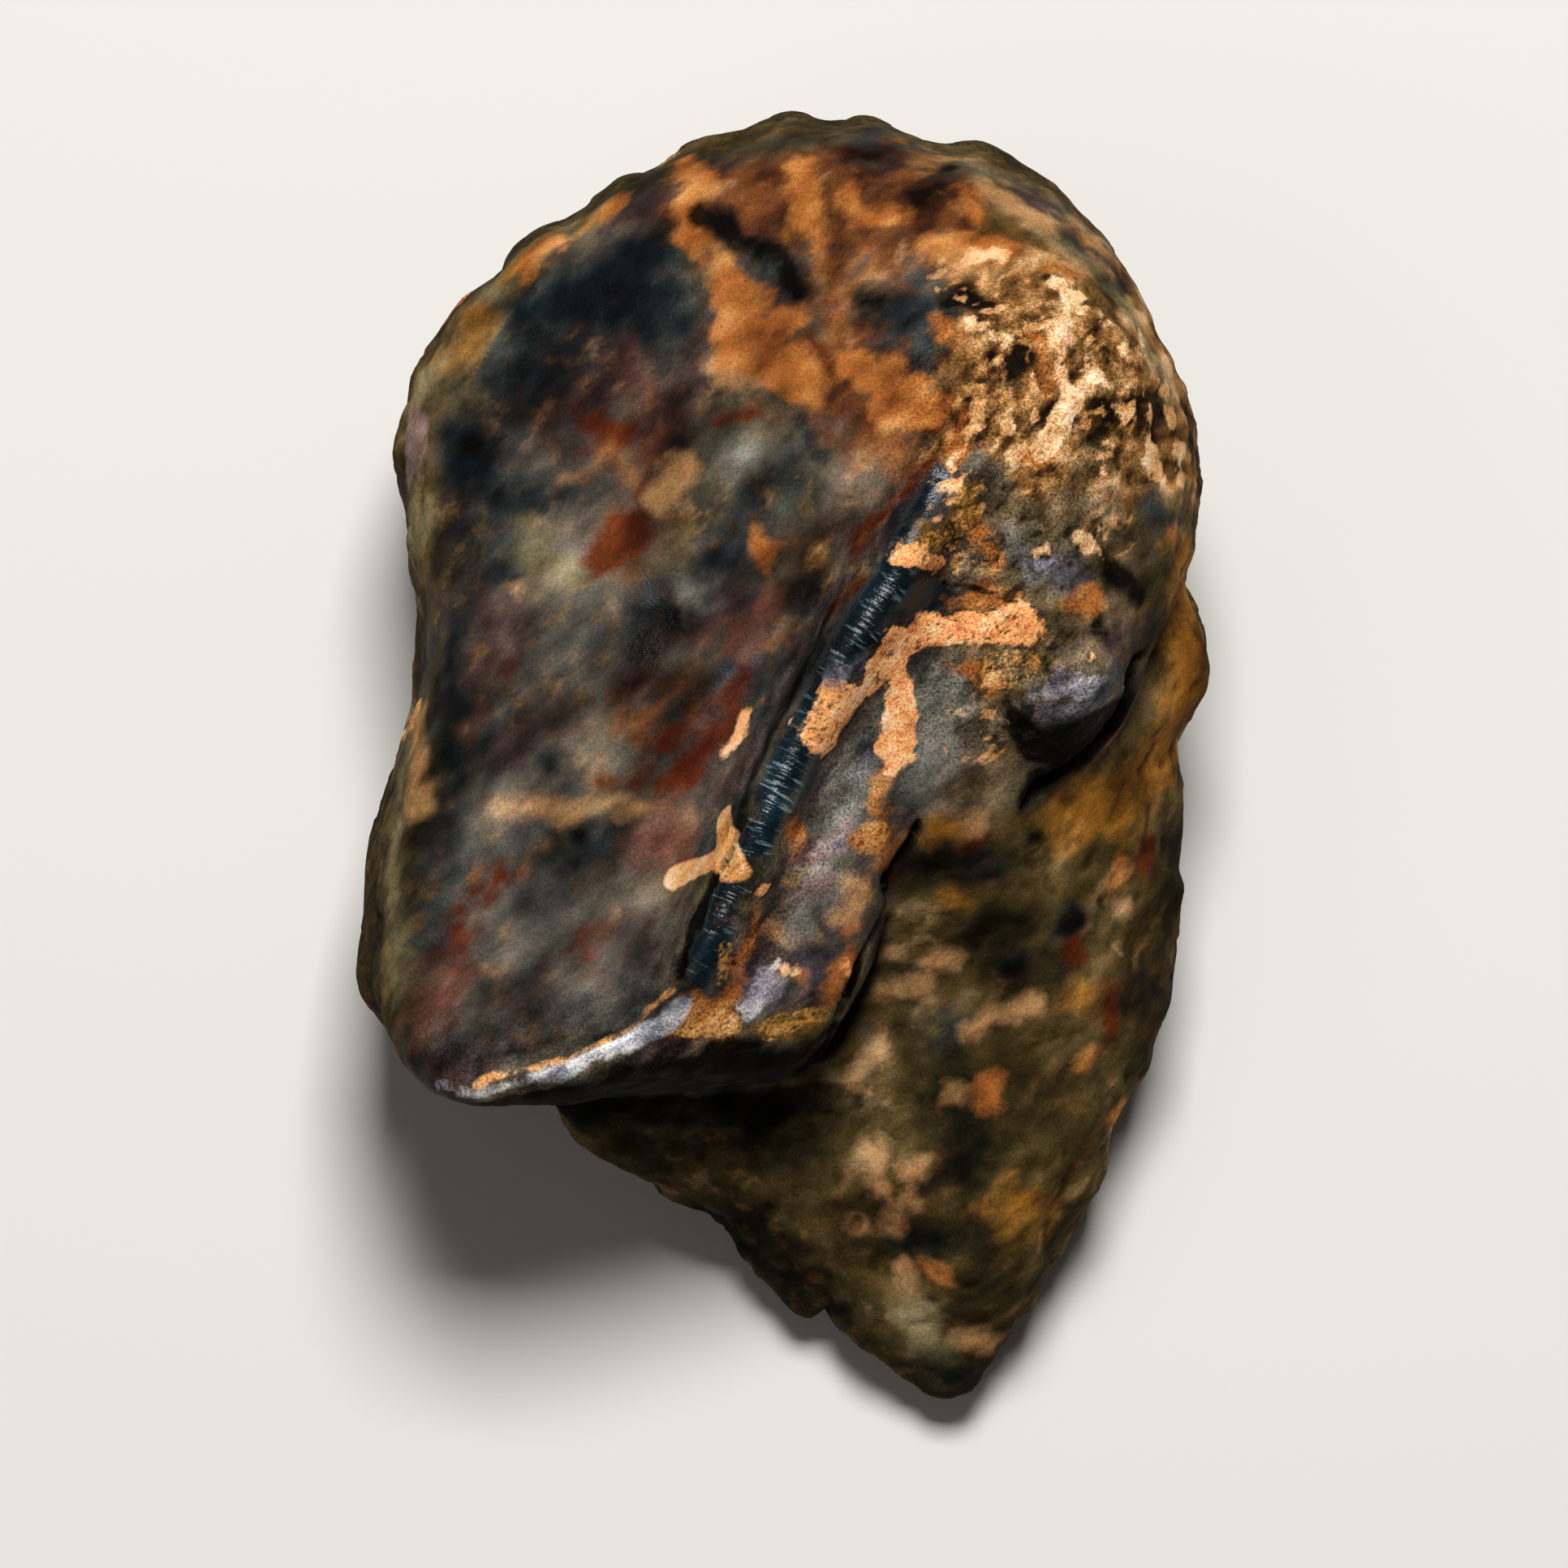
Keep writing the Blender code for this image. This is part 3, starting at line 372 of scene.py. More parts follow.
STROKES["gold"] = [
    [(-0.4, -6.6, 0.3), (0.4, -6.5, 0.36), (0.9, -6.2, 0.28), (1.2, -5.7, 0.2)],
    [(3.5, 5.0, 0.3), (4.4, 5.6, 0.4), (4.6, 6.6, 0.3)], [(4.2, 4.6, 0.25), (5.0, 4.8, 0.25)],
    [(-2.4, -6.4, 0.4), (-1.5, -6.5, 0.35)], [(-1.5, -4.6, 0.15), (-1.6, -5.4, 0.15)],
    [(5.3, 2.1, 0.5), (5.9, 2.2, 0.3)], [(2.2, -1.9, 0.3)]]
# Manganese spots, and painted shade laid black under the knob and the base lip, beside the rims and the
# keel
STROKES["manganese_and_shade"] = [
    [(8.0, 1.1, 0.5), (7.5, 0.5, 0.8), (6.9, 0.0, 0.7)],
    [(7.5, 0.9, 0.4), (6.6, 0.5, 0.4), (6.3, 0.0, 0.4)], [(6.1, -0.5, 0.45), (5.9, -1.0, 0.4)],
    [(8.6, 2.4, 0.14), (8.35, 2.1, 0.2), (8.35, 1.5, 0.25), (8.2, 1.1, 0.3), (7.8, 0.6, 0.35),
     (7.3, 0.0, 0.35), (6.6, -0.6, 0.3), (6.1, -1.1, 0.25), (5.8, -1.4, 0.15)],
    [(7.0, 2.8, 0.1), (7.6, 3.1, 0.14)],
    [(-5.3, -8.4, 0.3), (-3.0, -8.6, 0.5), (-0.6, -8.7, 0.6), (0.8, -8.3, 0.4)],
    [(3.2, -1.5, 0.06), (2.9, -2.1, 0.1), (2.35, -3.0, 0.1), (2.25, -3.8, 0.1), (1.9, -4.4, 0.12),
     (1.7, -5.1, 0.12), (1.6, -5.6, 0.14), (1.3, -6.2, 0.18), (0.6, -7.1, 0.25), (0.1, -7.6, 0.3)],
    [(2.4, -3.9, 0.15), (2.15, -4.8, 0.25), (1.9, -5.6, 0.3), (1.5, -6.5, 0.35), (0.9, -7.3, 0.35)],
    [(-1.9, -7.2, 0.3), (-0.6, -7.1, 0.2)],
    [(-6.4, -8.25, 0.15), (-5.4, -8.1, 0.2), (-4.4, -7.85, 0.28), (-3.3, -7.5, 0.32), (-2.6, -7.15, 0.3)],
    [(4.6, 11.4, 0.15), (4.4, 11.0, 0.4), (4.0, 10.9, 0.3), (5.0, 10.8, 0.15)], [(4.1, 14.2, 0.25)],
    [(7.6, 4.9, 0.2), (7.95, 4.3, 0.36), (8.5, 3.9, 0.3)], [(7.2, 2.9, 0.14), (7.7, 2.8, 0.22)],
    [(5.5, 1.3, 0.2), (5.8, 0.7, 0.42), (6.1, 0.1, 0.42)], [(6.0, -2.0, 0.3)], [(7.1, -4.0, 0.3)],
    [(5.6, -5.3, 0.25)], [(9.8, 7.4, 0.2)], [(8.0, 7.0, 0.15)], [(7.8, 11.0, 0.2)],
    [(1.8, 11.1, 0.3), (2.3, 11.0, 0.25)],
    [(-1.95, 13.2, 0.28), (-1.4, 12.9, 0.42), (-0.9, 12.4, 0.25), (-0.2, 12.3, 0.2), (0.1, 11.8, 0.38),
     (0.4, 11.2, 0.28)], [(-4.9, -1.9, 0.2)], [(-7.6, 7.5, 0.3)],
    [(-1.05, -2.1, 0.08), (-1.9, -4.0, 0.1), (-2.5, -5.3, 0.07)],
    [(1.6, 4.2, 0.08), (0.9, 2.6, 0.12), (0.45, 1.6, 0.2), (-0.2, 0.3, 0.26), (-0.6, -0.6, 0.22),
     (-0.85, -1.4, 0.16), (-1.05, -2.1, 0.1)], [(4.1, 4.2, 0.03), (4.9, 3.95, 0.03), (5.8, 3.5, 0.03)],
    [(0.9, -13.7, 0.25), (1.5, -13.6, 0.2)], [(3.4, 3.3, 0.12), (3.9, 3.5, 0.12)]]
STROKES["soot"] = [
    [(6.3, 5.4, 1.6), (6.0, 3.6, 1.2), (5.0, 1.0, 1.0)], [(6.2, 0.4, 0.5)], [(4.4, 5.4, 0.8)],
    [(7.6, 8.8, 1.4)], [(6.8, 11.0, 0.8)]]
STROKES["vein"] = [
    [(2.4, 2.7, 0.42), (3.3, 3.0, 0.48), (4.3, 3.1, 0.46), (5.3, 3.1, 0.46), (6.0, 3.2, 0.25)],
    [(2.4, 2.6, 0.42), (1.9, 1.8, 0.38), (1.3, 1.2, 0.38), (0.8, 0.35, 0.42)],
    [(2.7, 2.2, 0.24), (2.6, 1.6, 0.34), (2.7, 0.9, 0.62), (2.7, 0.3, 0.56), (2.5, -0.3, 0.25)],
    [(2.5, -0.8, 0.12)], [(-0.6, -3.15, 0.26)], [(-0.05, -5.2, 0.22)],
    [(1.35, -5.2, 0.14), (1.35, -4.8, 0.08)], [(3.0, 4.9, 0.25), (3.5, 4.7, 0.25)],
    [(-1.35, 0.05, 0.22), (-0.8, 0.7, 0.26)], [(4.3, 7.0, 0.15), (4.1, 6.4, 0.15)],
    [(4.6, 12.1, 0.2), (5.2, 12.0, 0.15)], [(7.24, 2.3, 0.14)]]
STROKES["pits"] = [
    [(2.4, 2.7, 0.3), (4.3, 3.1, 0.3), (5.6, 3.1, 0.3)], [(1.9, 1.8, 0.4), (0.8, 0.35, 0.5)],
    [(-2.4, -6.4, 0.5), (-1.5, -6.5, 0.4)], [(0.4, -6.5, 0.5), (1.2, -5.6, 0.3)],
    [(-1.3, -3.8, 0.3), (-1.6, -5.4, 0.3)], [(2.0, -2.1, 0.5), (2.8, -2.2, 0.4)]]
# Painted highlights: glints on the knob, the lower right face, the right face and the keel's upper crest
STROKES["painted_glints"] = [
    [(6.2, 1.65, 0.1), (6.7, 1.8, 0.2), (7.2, 1.65, 0.22), (7.5, 1.9, 0.14)],
    [(-0.6, -5.3, 0.2), (-0.75, -5.7, 0.3), (-0.8, -6.1, 0.3)], [(-0.3, -5.7, 0.2)],
    [(0.85, -2.35, 0.05), (1.2, -2.1, 0.07)], [(5.6, 4.6, 0.1), (6.4, 4.7, 0.1)],
    [(2.1, 2.9, 0.04), (1.7, 2.4, 0.08), (1.2, 1.75, 0.06)]]
# Painted highlight along the base lip's crest, and two small painted highlights on the lower right face
STROKES["wear"] = [
    [(-8.2, -7.9, 0.06), (-7.4, -8.12, 0.08), (-6.6, -7.95, 0.08), (-5.8, -7.72, 0.12),
     (-5.0, -7.52, 0.14), (-4.26, -7.22, 0.17), (-3.5, -6.8, 0.22), (-2.9, -6.45, 0.26),
     (-2.6, -6.15, 0.2), (-2.3, -5.85, 0.1)], [(-0.4, -5.15, 0.08), (-0.25, -4.95, 0.1)],
    [(-1.1, -6.0, 0.12), (-0.9, -6.3, 0.12)]]
STROKES["lime"] = [
    [(5.9, 10.4, 0.15), (6.6, 10.3, 0.2), (6.7, 9.2, 0.18), (6.9, 8.5, 0.25), (6.5, 7.8, 0.32),
     (6.2, 7.5, 0.3)], [(5.9, 9.0, 0.12), (6.0, 8.2, 0.16)], [(4.5, 10.4, 0.2), (5.1, 10.0, 0.2)],
    [(5.4, 9.9, 0.1)], [(5.3, 9.5, 0.12), (5.4, 8.4, 0.14), (5.4, 7.8, 0.16)],
    [(4.7, 8.8, 0.12), (4.7, 7.9, 0.14), (4.3, 7.2, 0.12)], [(6.6, 11.3, 0.18), (7.1, 10.8, 0.18)],
    [(7.5, 10.7, 0.14), (7.7, 10.3, 0.14)], [(8.0, 10.3, 0.1), (8.3, 9.5, 0.14), (8.6, 10.2, 0.1)],
    [(7.4, 9.4, 0.12), (8.3, 8.2, 0.14)], [(6.9, 8.0, 0.1), (7.8, 6.9, 0.14)],
    [(8.9, 9.1, 0.16), (9.2, 8.9, 0.2)], [(8.8, 8.1, 0.28)], [(9.3, 8.1, 0.24)],
    [(8.7, 7.5, 0.26), (8.9, 6.9, 0.3)], [(9.5, 7.3, 0.24), (9.4, 6.8, 0.24)],
    [(3.8, 6.5, 0.1), (4.1, 6.1, 0.12)], [(5.0, 6.2, 0.08)], [(6.2, 5.0, 0.1), (6.5, 4.9, 0.08)],
    [(7.0, 5.1, 0.08), (7.5, 5.0, 0.1), (7.7, 4.7, 0.08)], [(3.4, 4.8, 0.12)], [(-3.6, -4.4, 0.04)]]
STROKES["limescale"] = [
    [(-1.32, -1.65, 0.34), (-1.27, -2.1, 0.38), (-1.22, -2.7, 0.44)],
    [(-1.5, -2.65, 0.28), (-2.06, -2.82, 0.3), (-2.55, -3.05, 0.34)],
    [(-7.4, -7.95, 0.08), (-6.6, -7.78, 0.1), (-5.8, -7.55, 0.08), (-5.2, -7.38, 0.05),
     (-4.5, -7.1, 0.06), (-3.9, -6.76, 0.07), (-3.4, -6.4, 0.06), (-3.2, -6.1, 0.08), (-2.6, -5.7, 0.08)],
    [(-8.9, -7.75, 0.05), (-8.3, -8.1, 0.06)], [(3.0, 5.0, 0.08), (3.6, 4.7, 0.1)]]
# Cracks; the stroke along the crown's lower right rim paints the thin shade beside it
STROKES["crack_and_shade"] = [
    [(-1.5, -3.0, 0.12), (-1.8, -3.7, 0.15), (-2.1, -4.3, 0.15), (-2.42, -5.4, 0.13)],
    [(3.8, 4.18, 0.08), (4.5, 4.1, 0.1), (5.6, 3.64, 0.07)],
    [(3.1, -1.7, 0.1), (2.4, -3.0, 0.13), (2.3, -3.7, 0.13), (1.8, -4.9, 0.13), (1.5, -5.8, 0.12)],
    [(7.0, 2.8, 0.06), (7.6, 3.1, 0.1)]]
STROKES["sand"] = [
    [(5.6, 8.4, 1.5), (7.4, 8.6, 1.5), (6.0, 10.8, 1.0), (4.2, 11.6, 0.7)], [(4.2, 5.6, 0.8)],
    [(4.6, 0.6, 0.9)], [(8.0, 5.4, 0.6)]]

# The camera, at the photograph's angle: square to the leaning enamel face
LENS = 350.0
SENSOR = 36.0
VIEW_WIDTH = 38.64
VIEW_DEPTH = 5.5
VIEW_DROP = 0.73
VIEW_CLIP = (0.01, 5.0)

# Stage and lights, in metres: a light's direction in the tooth's axes, its distance, its size, and its
# brightness, which is what a white card facing it would show
FLOOR_RADIUS = 0.9
LIGHTS = {"key": ((0.05, 0.62, 1.0), 0.3, 0.1, 1.2), "fill": ((-0.8, -0.3, 1.0), 0.45, 0.3, 0.07)}
SKY_BRIGHTNESS = 0.07

# Where the skin is crisp, not worn smooth, how far that fades out, and the tilt at which flanks are
CRISP = [[(-8.0, -8.0, 0.8), (-4.0, -7.4, 0.8), (-1.5, -6.4, 1.2)],
         [(-1.2, -4.8, 1.3), (0.8, -1.2, 1.6), (3.0, 2.4, 2.0), (5.2, 5.6, 2.6), (6.6, 8.8, 3.0)],
         [(5.0, 2.0, 2.5), (7.0, 1.4, 1.6)]]
CRISP_FADE = 1.6
CRISP_TILT = (0.35, 0.4)


def linear(hex_colour):
    """Turns an sRGB hex colour into linear red, green, blue and alpha."""
    values = []
    for place in (1, 3, 5):
        part = int(hex_colour[place:place + 2], 16) / 255
        values.append(part / 12.92 if part <= 0.04045 else ((part + 0.055) / 1.055) ** 2.4)
    return (*values, 1.0)


def per_length(length):
    """Texture scale for a pattern this many millimetres long, on coordinates in metres."""
    return 1.0 / (length * MM)


def add_node(tree, kind, settings=None, inputs=None, stops=None):
    """Adds a node with its settings, its inputs as values or links, and a ramp's stops."""
    node = tree.nodes.new("ShaderNode" + kind)
    for name, value in (settings or {}).items():
        setattr(node, name, value)
    for name, value in (inputs or {}).items():
        if isinstance(value, bpy.types.NodeSocket):
            tree.links.new(value, node.inputs[name])
        else:
            node.inputs[name].default_value = value
    for number, (position, colour) in enumerate(stops or []):
        ramp = node.color_ramp.elements
        stop = ramp[number] if number < len(ramp) else ramp.new(position)
        stop.position = position
        stop.color = colour
    return node


def mesh_arrays(mesh):
    """Gives the mesh's points and normals."""
    arrays = np.empty((2, len(mesh.vertices) * 3))
    for name, values in zip(("co", "normal"), arrays):
        mesh.vertices.foreach_get(name, values)
    return arrays.reshape(2, -1, 3)


def set_points(mesh, points):
    """Moves the mesh's points."""
    mesh.vertices.foreach_set("co", points.ravel())
    mesh.update()


def ease(values):
    """Runs smoothly from 0 to 1 while the values do."""
    values = np.clip(values, 0.0, 1.0)
    return values * values * (3.0 - 2.0 * values)


def lumps(points, length, octaves=3, shift=0.0):
    """Smooth noise from about -1 to 1, with lumps of one length or of one along each axis."""
    scale = Vector(1.0 / np.broadcast_to(length, 3))
    start = Vector((shift, shift, shift))
    return np.array([noise.fractal(Vector(point) * scale + start, 1.0, 2.0, octaves) for point in points])


def edge_drift(points):
    """Gives each point a sideways drift, which makes the edges of the marks ragged."""
    drift = np.zeros_like(points)
    for length, share in EDGE_WAVES:
        for axis in range(3):
            drift[:, axis] += share * lumps(points, length, 2, 31.0 + 7.0 * axis)
    return drift


def path_offsets(spots, path):
    """Distance of each spot to a path, positive on its left, and how far along it lies."""
    path = np.array(path, float)
    lengths = np.linalg.norm(np.diff(path, axis=0), axis=1)
    runs = np.diff(path, axis=0) / lengths[:, None]
    away = spots[:, None] - path[:-1]
    reach = np.sum(away * runs, axis=2)
    gaps = np.linalg.norm(away - np.clip(reach, 0.0, lengths)[..., None] * runs, axis=2)
    sides = np.sign(runs[:, 0] * away[..., 1] - runs[:, 1] * away[..., 0])
    nearest = (np.arange(len(spots)), gaps.argmin(axis=1))
    return (sides * gaps)[nearest], (np.cumsum(lengths) - lengths + reach)[nearest]


def outside_outline(spots, outline):
    """Distance of each spot from a closed outline, negative inside it."""
    closed = outline + outline[:1]
    gap = np.abs(path_offsets(spots, closed)[0])
    x, y = spots.T
    inside = np.zeros(len(spots), bool)
    for (x0, y0), (x1, y1) in zip(closed[:-1], closed[1:]):
        crossing = x0 + (y - y0) * (x1 - x0) / (y1 - y0)
        inside ^= ((y0 > y) != (y1 > y)) & (x < crossing)
    return np.where(inside, -gap, gap)


def dabs_along(stroke, surface):
    """Lays a stroke on the surface as close-set dabs of (x, y, z, half width)."""
    stroke = np.array(stroke, float)
    dabs = [stroke[:1]]
    for first, last in zip(stroke[:-1], stroke[1:]):
        count = max(1, round(np.hypot(*(last - first)[:2]) / DAB_SPACING))
        dabs.append(first + (last - first) * (np.arange(1, count + 1) / count)[:, None])
    laid = []
    for x, y, width in np.vstack(dabs):
        hit = surface.ray_cast(Vector((x, y, DROP_HEIGHT)), Vector((0.0, 0.0, -1.0)))[0]
        if hit is not None:
            laid.append((*hit, width))
    return laid


def distance_to(points, dabs):
    """Distance of each point from the edge of the nearest dab, negative inside it."""
    nearest = np.full(len(points), FAR_AWAY)
    for x, y, z, width in dabs:
        away = np.sqrt((points[:, 0] - x) ** 2 + (points[:, 1] - y) ** 2 + (points[:, 2] - z) ** 2)
        np.minimum(nearest, away - width, out=nearest)
    return nearest


def tooth_axes(mesh):
    """Gives the matrix from the world, in metres, to the tooth's own axes, in millimetres."""
    turned = Matrix.Rotation(-FACE_LEAN, 4, "X") @ Matrix.Scale(1.0 / MM, 4)
    lengthwise = [(turned @ vertex.co).y for vertex in mesh.vertices]
    middle = (min(lengthwise) + max(lengthwise)) / 2
    return Matrix.Translation((0.0, -middle, 0.0)) @ turned


def fine_skin(node):
    """Gives a dense, even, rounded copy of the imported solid's surface, in metres."""
    skin = bpy.data.objects.new("tooth_surface", node.data.copy())
    bpy.context.scene.collection.objects.link(skin)
    skin.data.transform(Matrix.Scale(1.0 / MM, 4))
    merge = skin.modifiers.new("one skin", "WELD")
    merge.merge_threshold = MERGE_GAP
    rounding = skin.modifiers.new("rounded", "SUBSURF")
    rounding.levels = SKIN_ROUNDING
    rounding.render_levels = SKIN_ROUNDING
    remesh = skin.modifiers.new("even skin", "REMESH")
    remesh.mode = "VOXEL"
    remesh.voxel_size = SKIN_VOXEL
    soften = skin.modifiers.new("worn", "SMOOTH")
    soften.factor, soften.iterations = SKIN_SMOOTHING
    bpy.context.view_layer.update()
    done = bpy.data.meshes.new_from_object(skin.evaluated_get(bpy.context.evaluated_depsgraph_get()))
    skin.modifiers.clear()
    skin.data = done
    skin.data.materials.clear()
    skin.data.transform(Matrix.Scale(MM, 4))
    return skin


def scattered_dabs(points, normals, count, draw):
    """Places small patches of a mineral at the back, which the strokes don't reach."""
    places = np.flatnonzero(normals[:, 2] < BACK_TILT)
    dabs = []
    for start in draw.choice(places, count):
        spot = points[start].copy()
        width = draw.uniform(*SCATTER_WIDTH)
        for _ in range(draw.integers(*SCATTER_DABS)):
            dabs.append((*spot, width))
            spot += draw.normal(0.0, SCATTER_STEP, 3)
            width *= draw.uniform(*SCATTER_SWELL)
    return dabs


def enamel_edge(points):
    """Distance of each point from the enamel, negative on it."""
    return np.maximum(outside_outline(points[:, :2], ENAMEL_OUTLINE), ENAMEL_FLOOR - points[:, 2])


def crust_cover(points):
    """How thick the flaky crust of the crown's right shoulder lies, from 0 to 1."""
    x, y, z = points.T
    start, full, end = FAN_REACH
    away = np.hypot(x - FAN_MIDDLE[0], y - FAN_MIDDLE[1])
    reach = ease((away - start) / (full - start)) * ease((end - away) / FAN_FADE)
    level, lean = CRUST_LEAN
    rightward = ease((x - CRUST_LEFT[0] - lean * (y - level)) / CRUST_LEFT[1])
    upward = ease((y - CRUST_FOOT[0]) / CRUST_FOOT[1])
    ragged = CRUST_RAGGED[0] * lumps(points, CRUST_RAGGED[1], shift=17.0)
    on_face = ease((z - CRUST_BACK[0]) / CRUST_BACK[1] + 0.5)
    return np.clip(reach * rightward * upward + ragged, 0.0, 1.0) * reach * on_face


def under_lip_shade(points, normals):
    """Distance of each point from the slope under the base lip, where shade is painted, negative on it."""
    beyond = np.maximum(np.abs(points[:, :2] - LIP_MIDDLE) - LIP_REACH, 0.0)
    return LIP_SHARPNESS * (normals[:, 1] - LIP_TILT) + np.hypot(*beyond.T)


def fan_flakes(points):
    """Noise of long flakes that fan out from where the keel runs under the crust."""
    x, y = (points[:, :2] - FAN_MIDDLE).T
    fan = np.column_stack([np.arctan2(y, x) * FAN_SPREAD, np.hypot(x, y), points[:, 2]])
    return lumps(fan, FLAKE_SIZE)


def sculpt(points, drift, keel, surface):
    """Gives how far each point moves outwards for the fine relief."""
    offset, along = keel
    to_end = np.sum(np.linalg.norm(np.diff(KEEL_CREST, axis=0), axis=1)) - along
    on_keel = ease(along / KEEL_FADES[0] + KEEL_START) * ease(to_end / KEEL_FADES[1]) \
        * ease(points[:, 2] - KEEL_FLOOR)
    on_root = ease(enamel_edge(points) / ROOT_FADE)
    calm = 1.0 - KEEL_CALM * on_keel
    push = KEEL_SHARP_RISE * on_keel * np.exp(-(offset / KEEL_SHARPNESS) ** 2)
    push += SKIN_LUMPS[0] * lumps(points, SKIN_LUMPS[1]) * calm
    push += SKIN_GRIT[0] * lumps(points, SKIN_GRIT[1], 2, shift=5.0) * calm
    push += ROOT_LUMPS[0] * on_root * lumps(points, ROOT_LUMPS[1], shift=7.0)
    push -= ROOT_PITS[0] * on_root * ease(2.0 * lumps(points, ROOT_PITS[1], 2, shift=3.0))
    push += SKIN_GROWTH + FLAKE_RISE * crust_cover(points) * fan_flakes(points)
    drifted = points + LINE_DRIFT * drift
    for stroke, rise, softness in RELIEF_LINES:
        push += rise * ease(0.5 - distance_to(drifted, dabs_along(stroke, surface)) / softness)
    return push


def hollowness(mesh, points, normals):
    """How deep each point sits below its neighbours, negative on crests."""
    edges = np.empty(len(mesh.edges) * 2, int)
    mesh.edges.foreach_get("vertices", edges)
    swapped = edges.reshape(-1, 2)[:, ::-1].ravel()
    count = np.bincount(edges)

    def around(values):
        """Gives the mean of the values at each point's neighbours."""
        return np.bincount(edges, values[swapped]) / count

    bend = sum((around(points[:, axis]) - points[:, axis]) * normals[:, axis] for axis in range(3))
    for _ in range(HOLLOW_SMOOTHING):
        bend = 0.5 * bend + 0.5 * around(bend)
    return bend


def lay_minerals(points, normals, drift, surface):
    """Distance of each point from each mineral and each painted shade or highlight, negative on it, and how
    proud they stand.
    """
    draw = np.random.default_rng(SEED)
    masks = {}
    proud = np.zeros(len(points))
    for stain in STAINS:
        dabs = [dab for stroke in STROKES.get(stain.name, []) for dab in dabs_along(stroke, surface)]
        dabs += scattered_dabs(points, normals, stain.scattered, draw)
        masks[stain.name] = distance_to(points + stain.ragged * drift, dabs)
        proud += stain.rise * ease(0.5 - masks[stain.name] / RISE_EDGE)
    # Painted shade: the slope under the base lip is laid black, and the later minerals are kept off it
    slope = under_lip_shade(points, normals)
    masks["manganese_and_shade"] = np.minimum(masks["manganese_and_shade"], slope)
    names = list(masks)
    for name in names[names.index("manganese_and_shade") + 1:]:
        masks[name] = np.maximum(masks[name], LIP_MARGIN - slope)
    masks["dentine"] = -enamel_edge(points)
    masks["crust"] = 0.5 - crust_cover(points)
    return masks, proud


def shape_skin(skin):
    """Gives the skin its fine relief and stores what its material reads at each point."""
    mesh = skin.data
    to_tooth = tooth_axes(mesh)
    mesh.transform(to_tooth)
    points, normals = mesh_arrays(mesh)
    surface = BVHTree.FromPolygons(points.tolist(), [tuple(face.vertices) for face in mesh.polygons])
    drift = edge_drift(points)
    offset, along = path_offsets(points[:, :2], KEEL_CREST)
    masks, proud = lay_minerals(points, normals, drift, surface)
    masks["flakes"] = fan_flakes(points)
    crisp = [dab for stroke in CRISP for dab in dabs_along(stroke, surface)]
    tilt, fade = CRISP_TILT
    masks["crisp"] = np.maximum(ease(0.5 - 0.5 * distance_to(points, crisp) / CRISP_FADE),
                                ease((tilt - normals[:, 2]) / fade))
    full, bare = RIB_BAND
    masks["keel_along"] = along
    masks["keel_across"] = RIB_STRETCH * offset
    masks["ribbed"] = ease((bare - np.abs(offset)) / (bare - full)) * ease(points[:, 2] - RIB_FLOOR) \
        * np.interp(along, RIB_PLACES, RIB_STRENGTHS)
    push = sculpt(points, drift, (offset, along), surface) + proud
    set_points(mesh, points + normals * push[:, None])
    points, normals = mesh_arrays(mesh)
    masks["hollow"] = hollowness(mesh, points, normals)
    for name, values in masks.items():
        made = mesh.attributes.new(name, "FLOAT", "POINT")
        made.data.foreach_set("value", values.astype(np.float32))
    mesh.transform(to_tooth.inverted())
    points, _ = mesh_arrays(mesh)
    points[:, 2] = np.maximum(points[:, 2], 0.0)
    set_points(mesh, points)
    mesh.shade_smooth()
    return to_tooth


# Sockets of a Mix node set to colours
MIX_COLOUR = {"data_type": "RGBA"}
COLOUR_A = 6
COLOUR_B = 7
COLOUR_OUT = 2
SHADE_RANGE = (0.1, 0.9)

# Uneven patterns of the skin: patch length in millimetres, detail, and the values stretched to 0 and 1
PATTERNS = {"blotches": (1.9, 2.5, 0.3, 0.7), "patches": (0.5, 4.0, 0.3, 0.7),
            "waver": (0.6, 4.0, 0.5, 1.5)}
STREAK_ANGLE = math.radians(40.0)
STREAK_STRETCH = 1.6
TINT_LENGTH = 2.8
TINT_EDGE = (0.46, 0.6)

# How much the fine patches and the grains show and how sharply marks end, on worn and on crisp skin
CRISP_SHARES = {"patchiness": (0.2, 0.6), "graininess": (0.28, 0.72), "sharpness": (0.7, 1.0)}

# Grains and patches in millimetres, and the length and share of a drift in hue
GRAIN_LENGTH = 0.065
GRAIN_RANGE = (0.36, 0.64)
GRAIN_HEIGHT = 0.012
PATCH_HEIGHT = 0.02
HUE_DRIFT = (0.35, 0.2)

# Painted glint on the ribs' crests and painted shade in hollows: its colour, where it starts and is full,
# its share
GLINT = ("#93b1ba", (0.12, 0.4), 0.36)
HOLLOW_SHADE = ("#080503", (0.002, 0.012), 0.6)

# Gloss of the bare crown, and the roughness of matt and of glossy skin
CROWN_GLOSS = 0.1
ROUGHNESS = (0.8, 0.5)


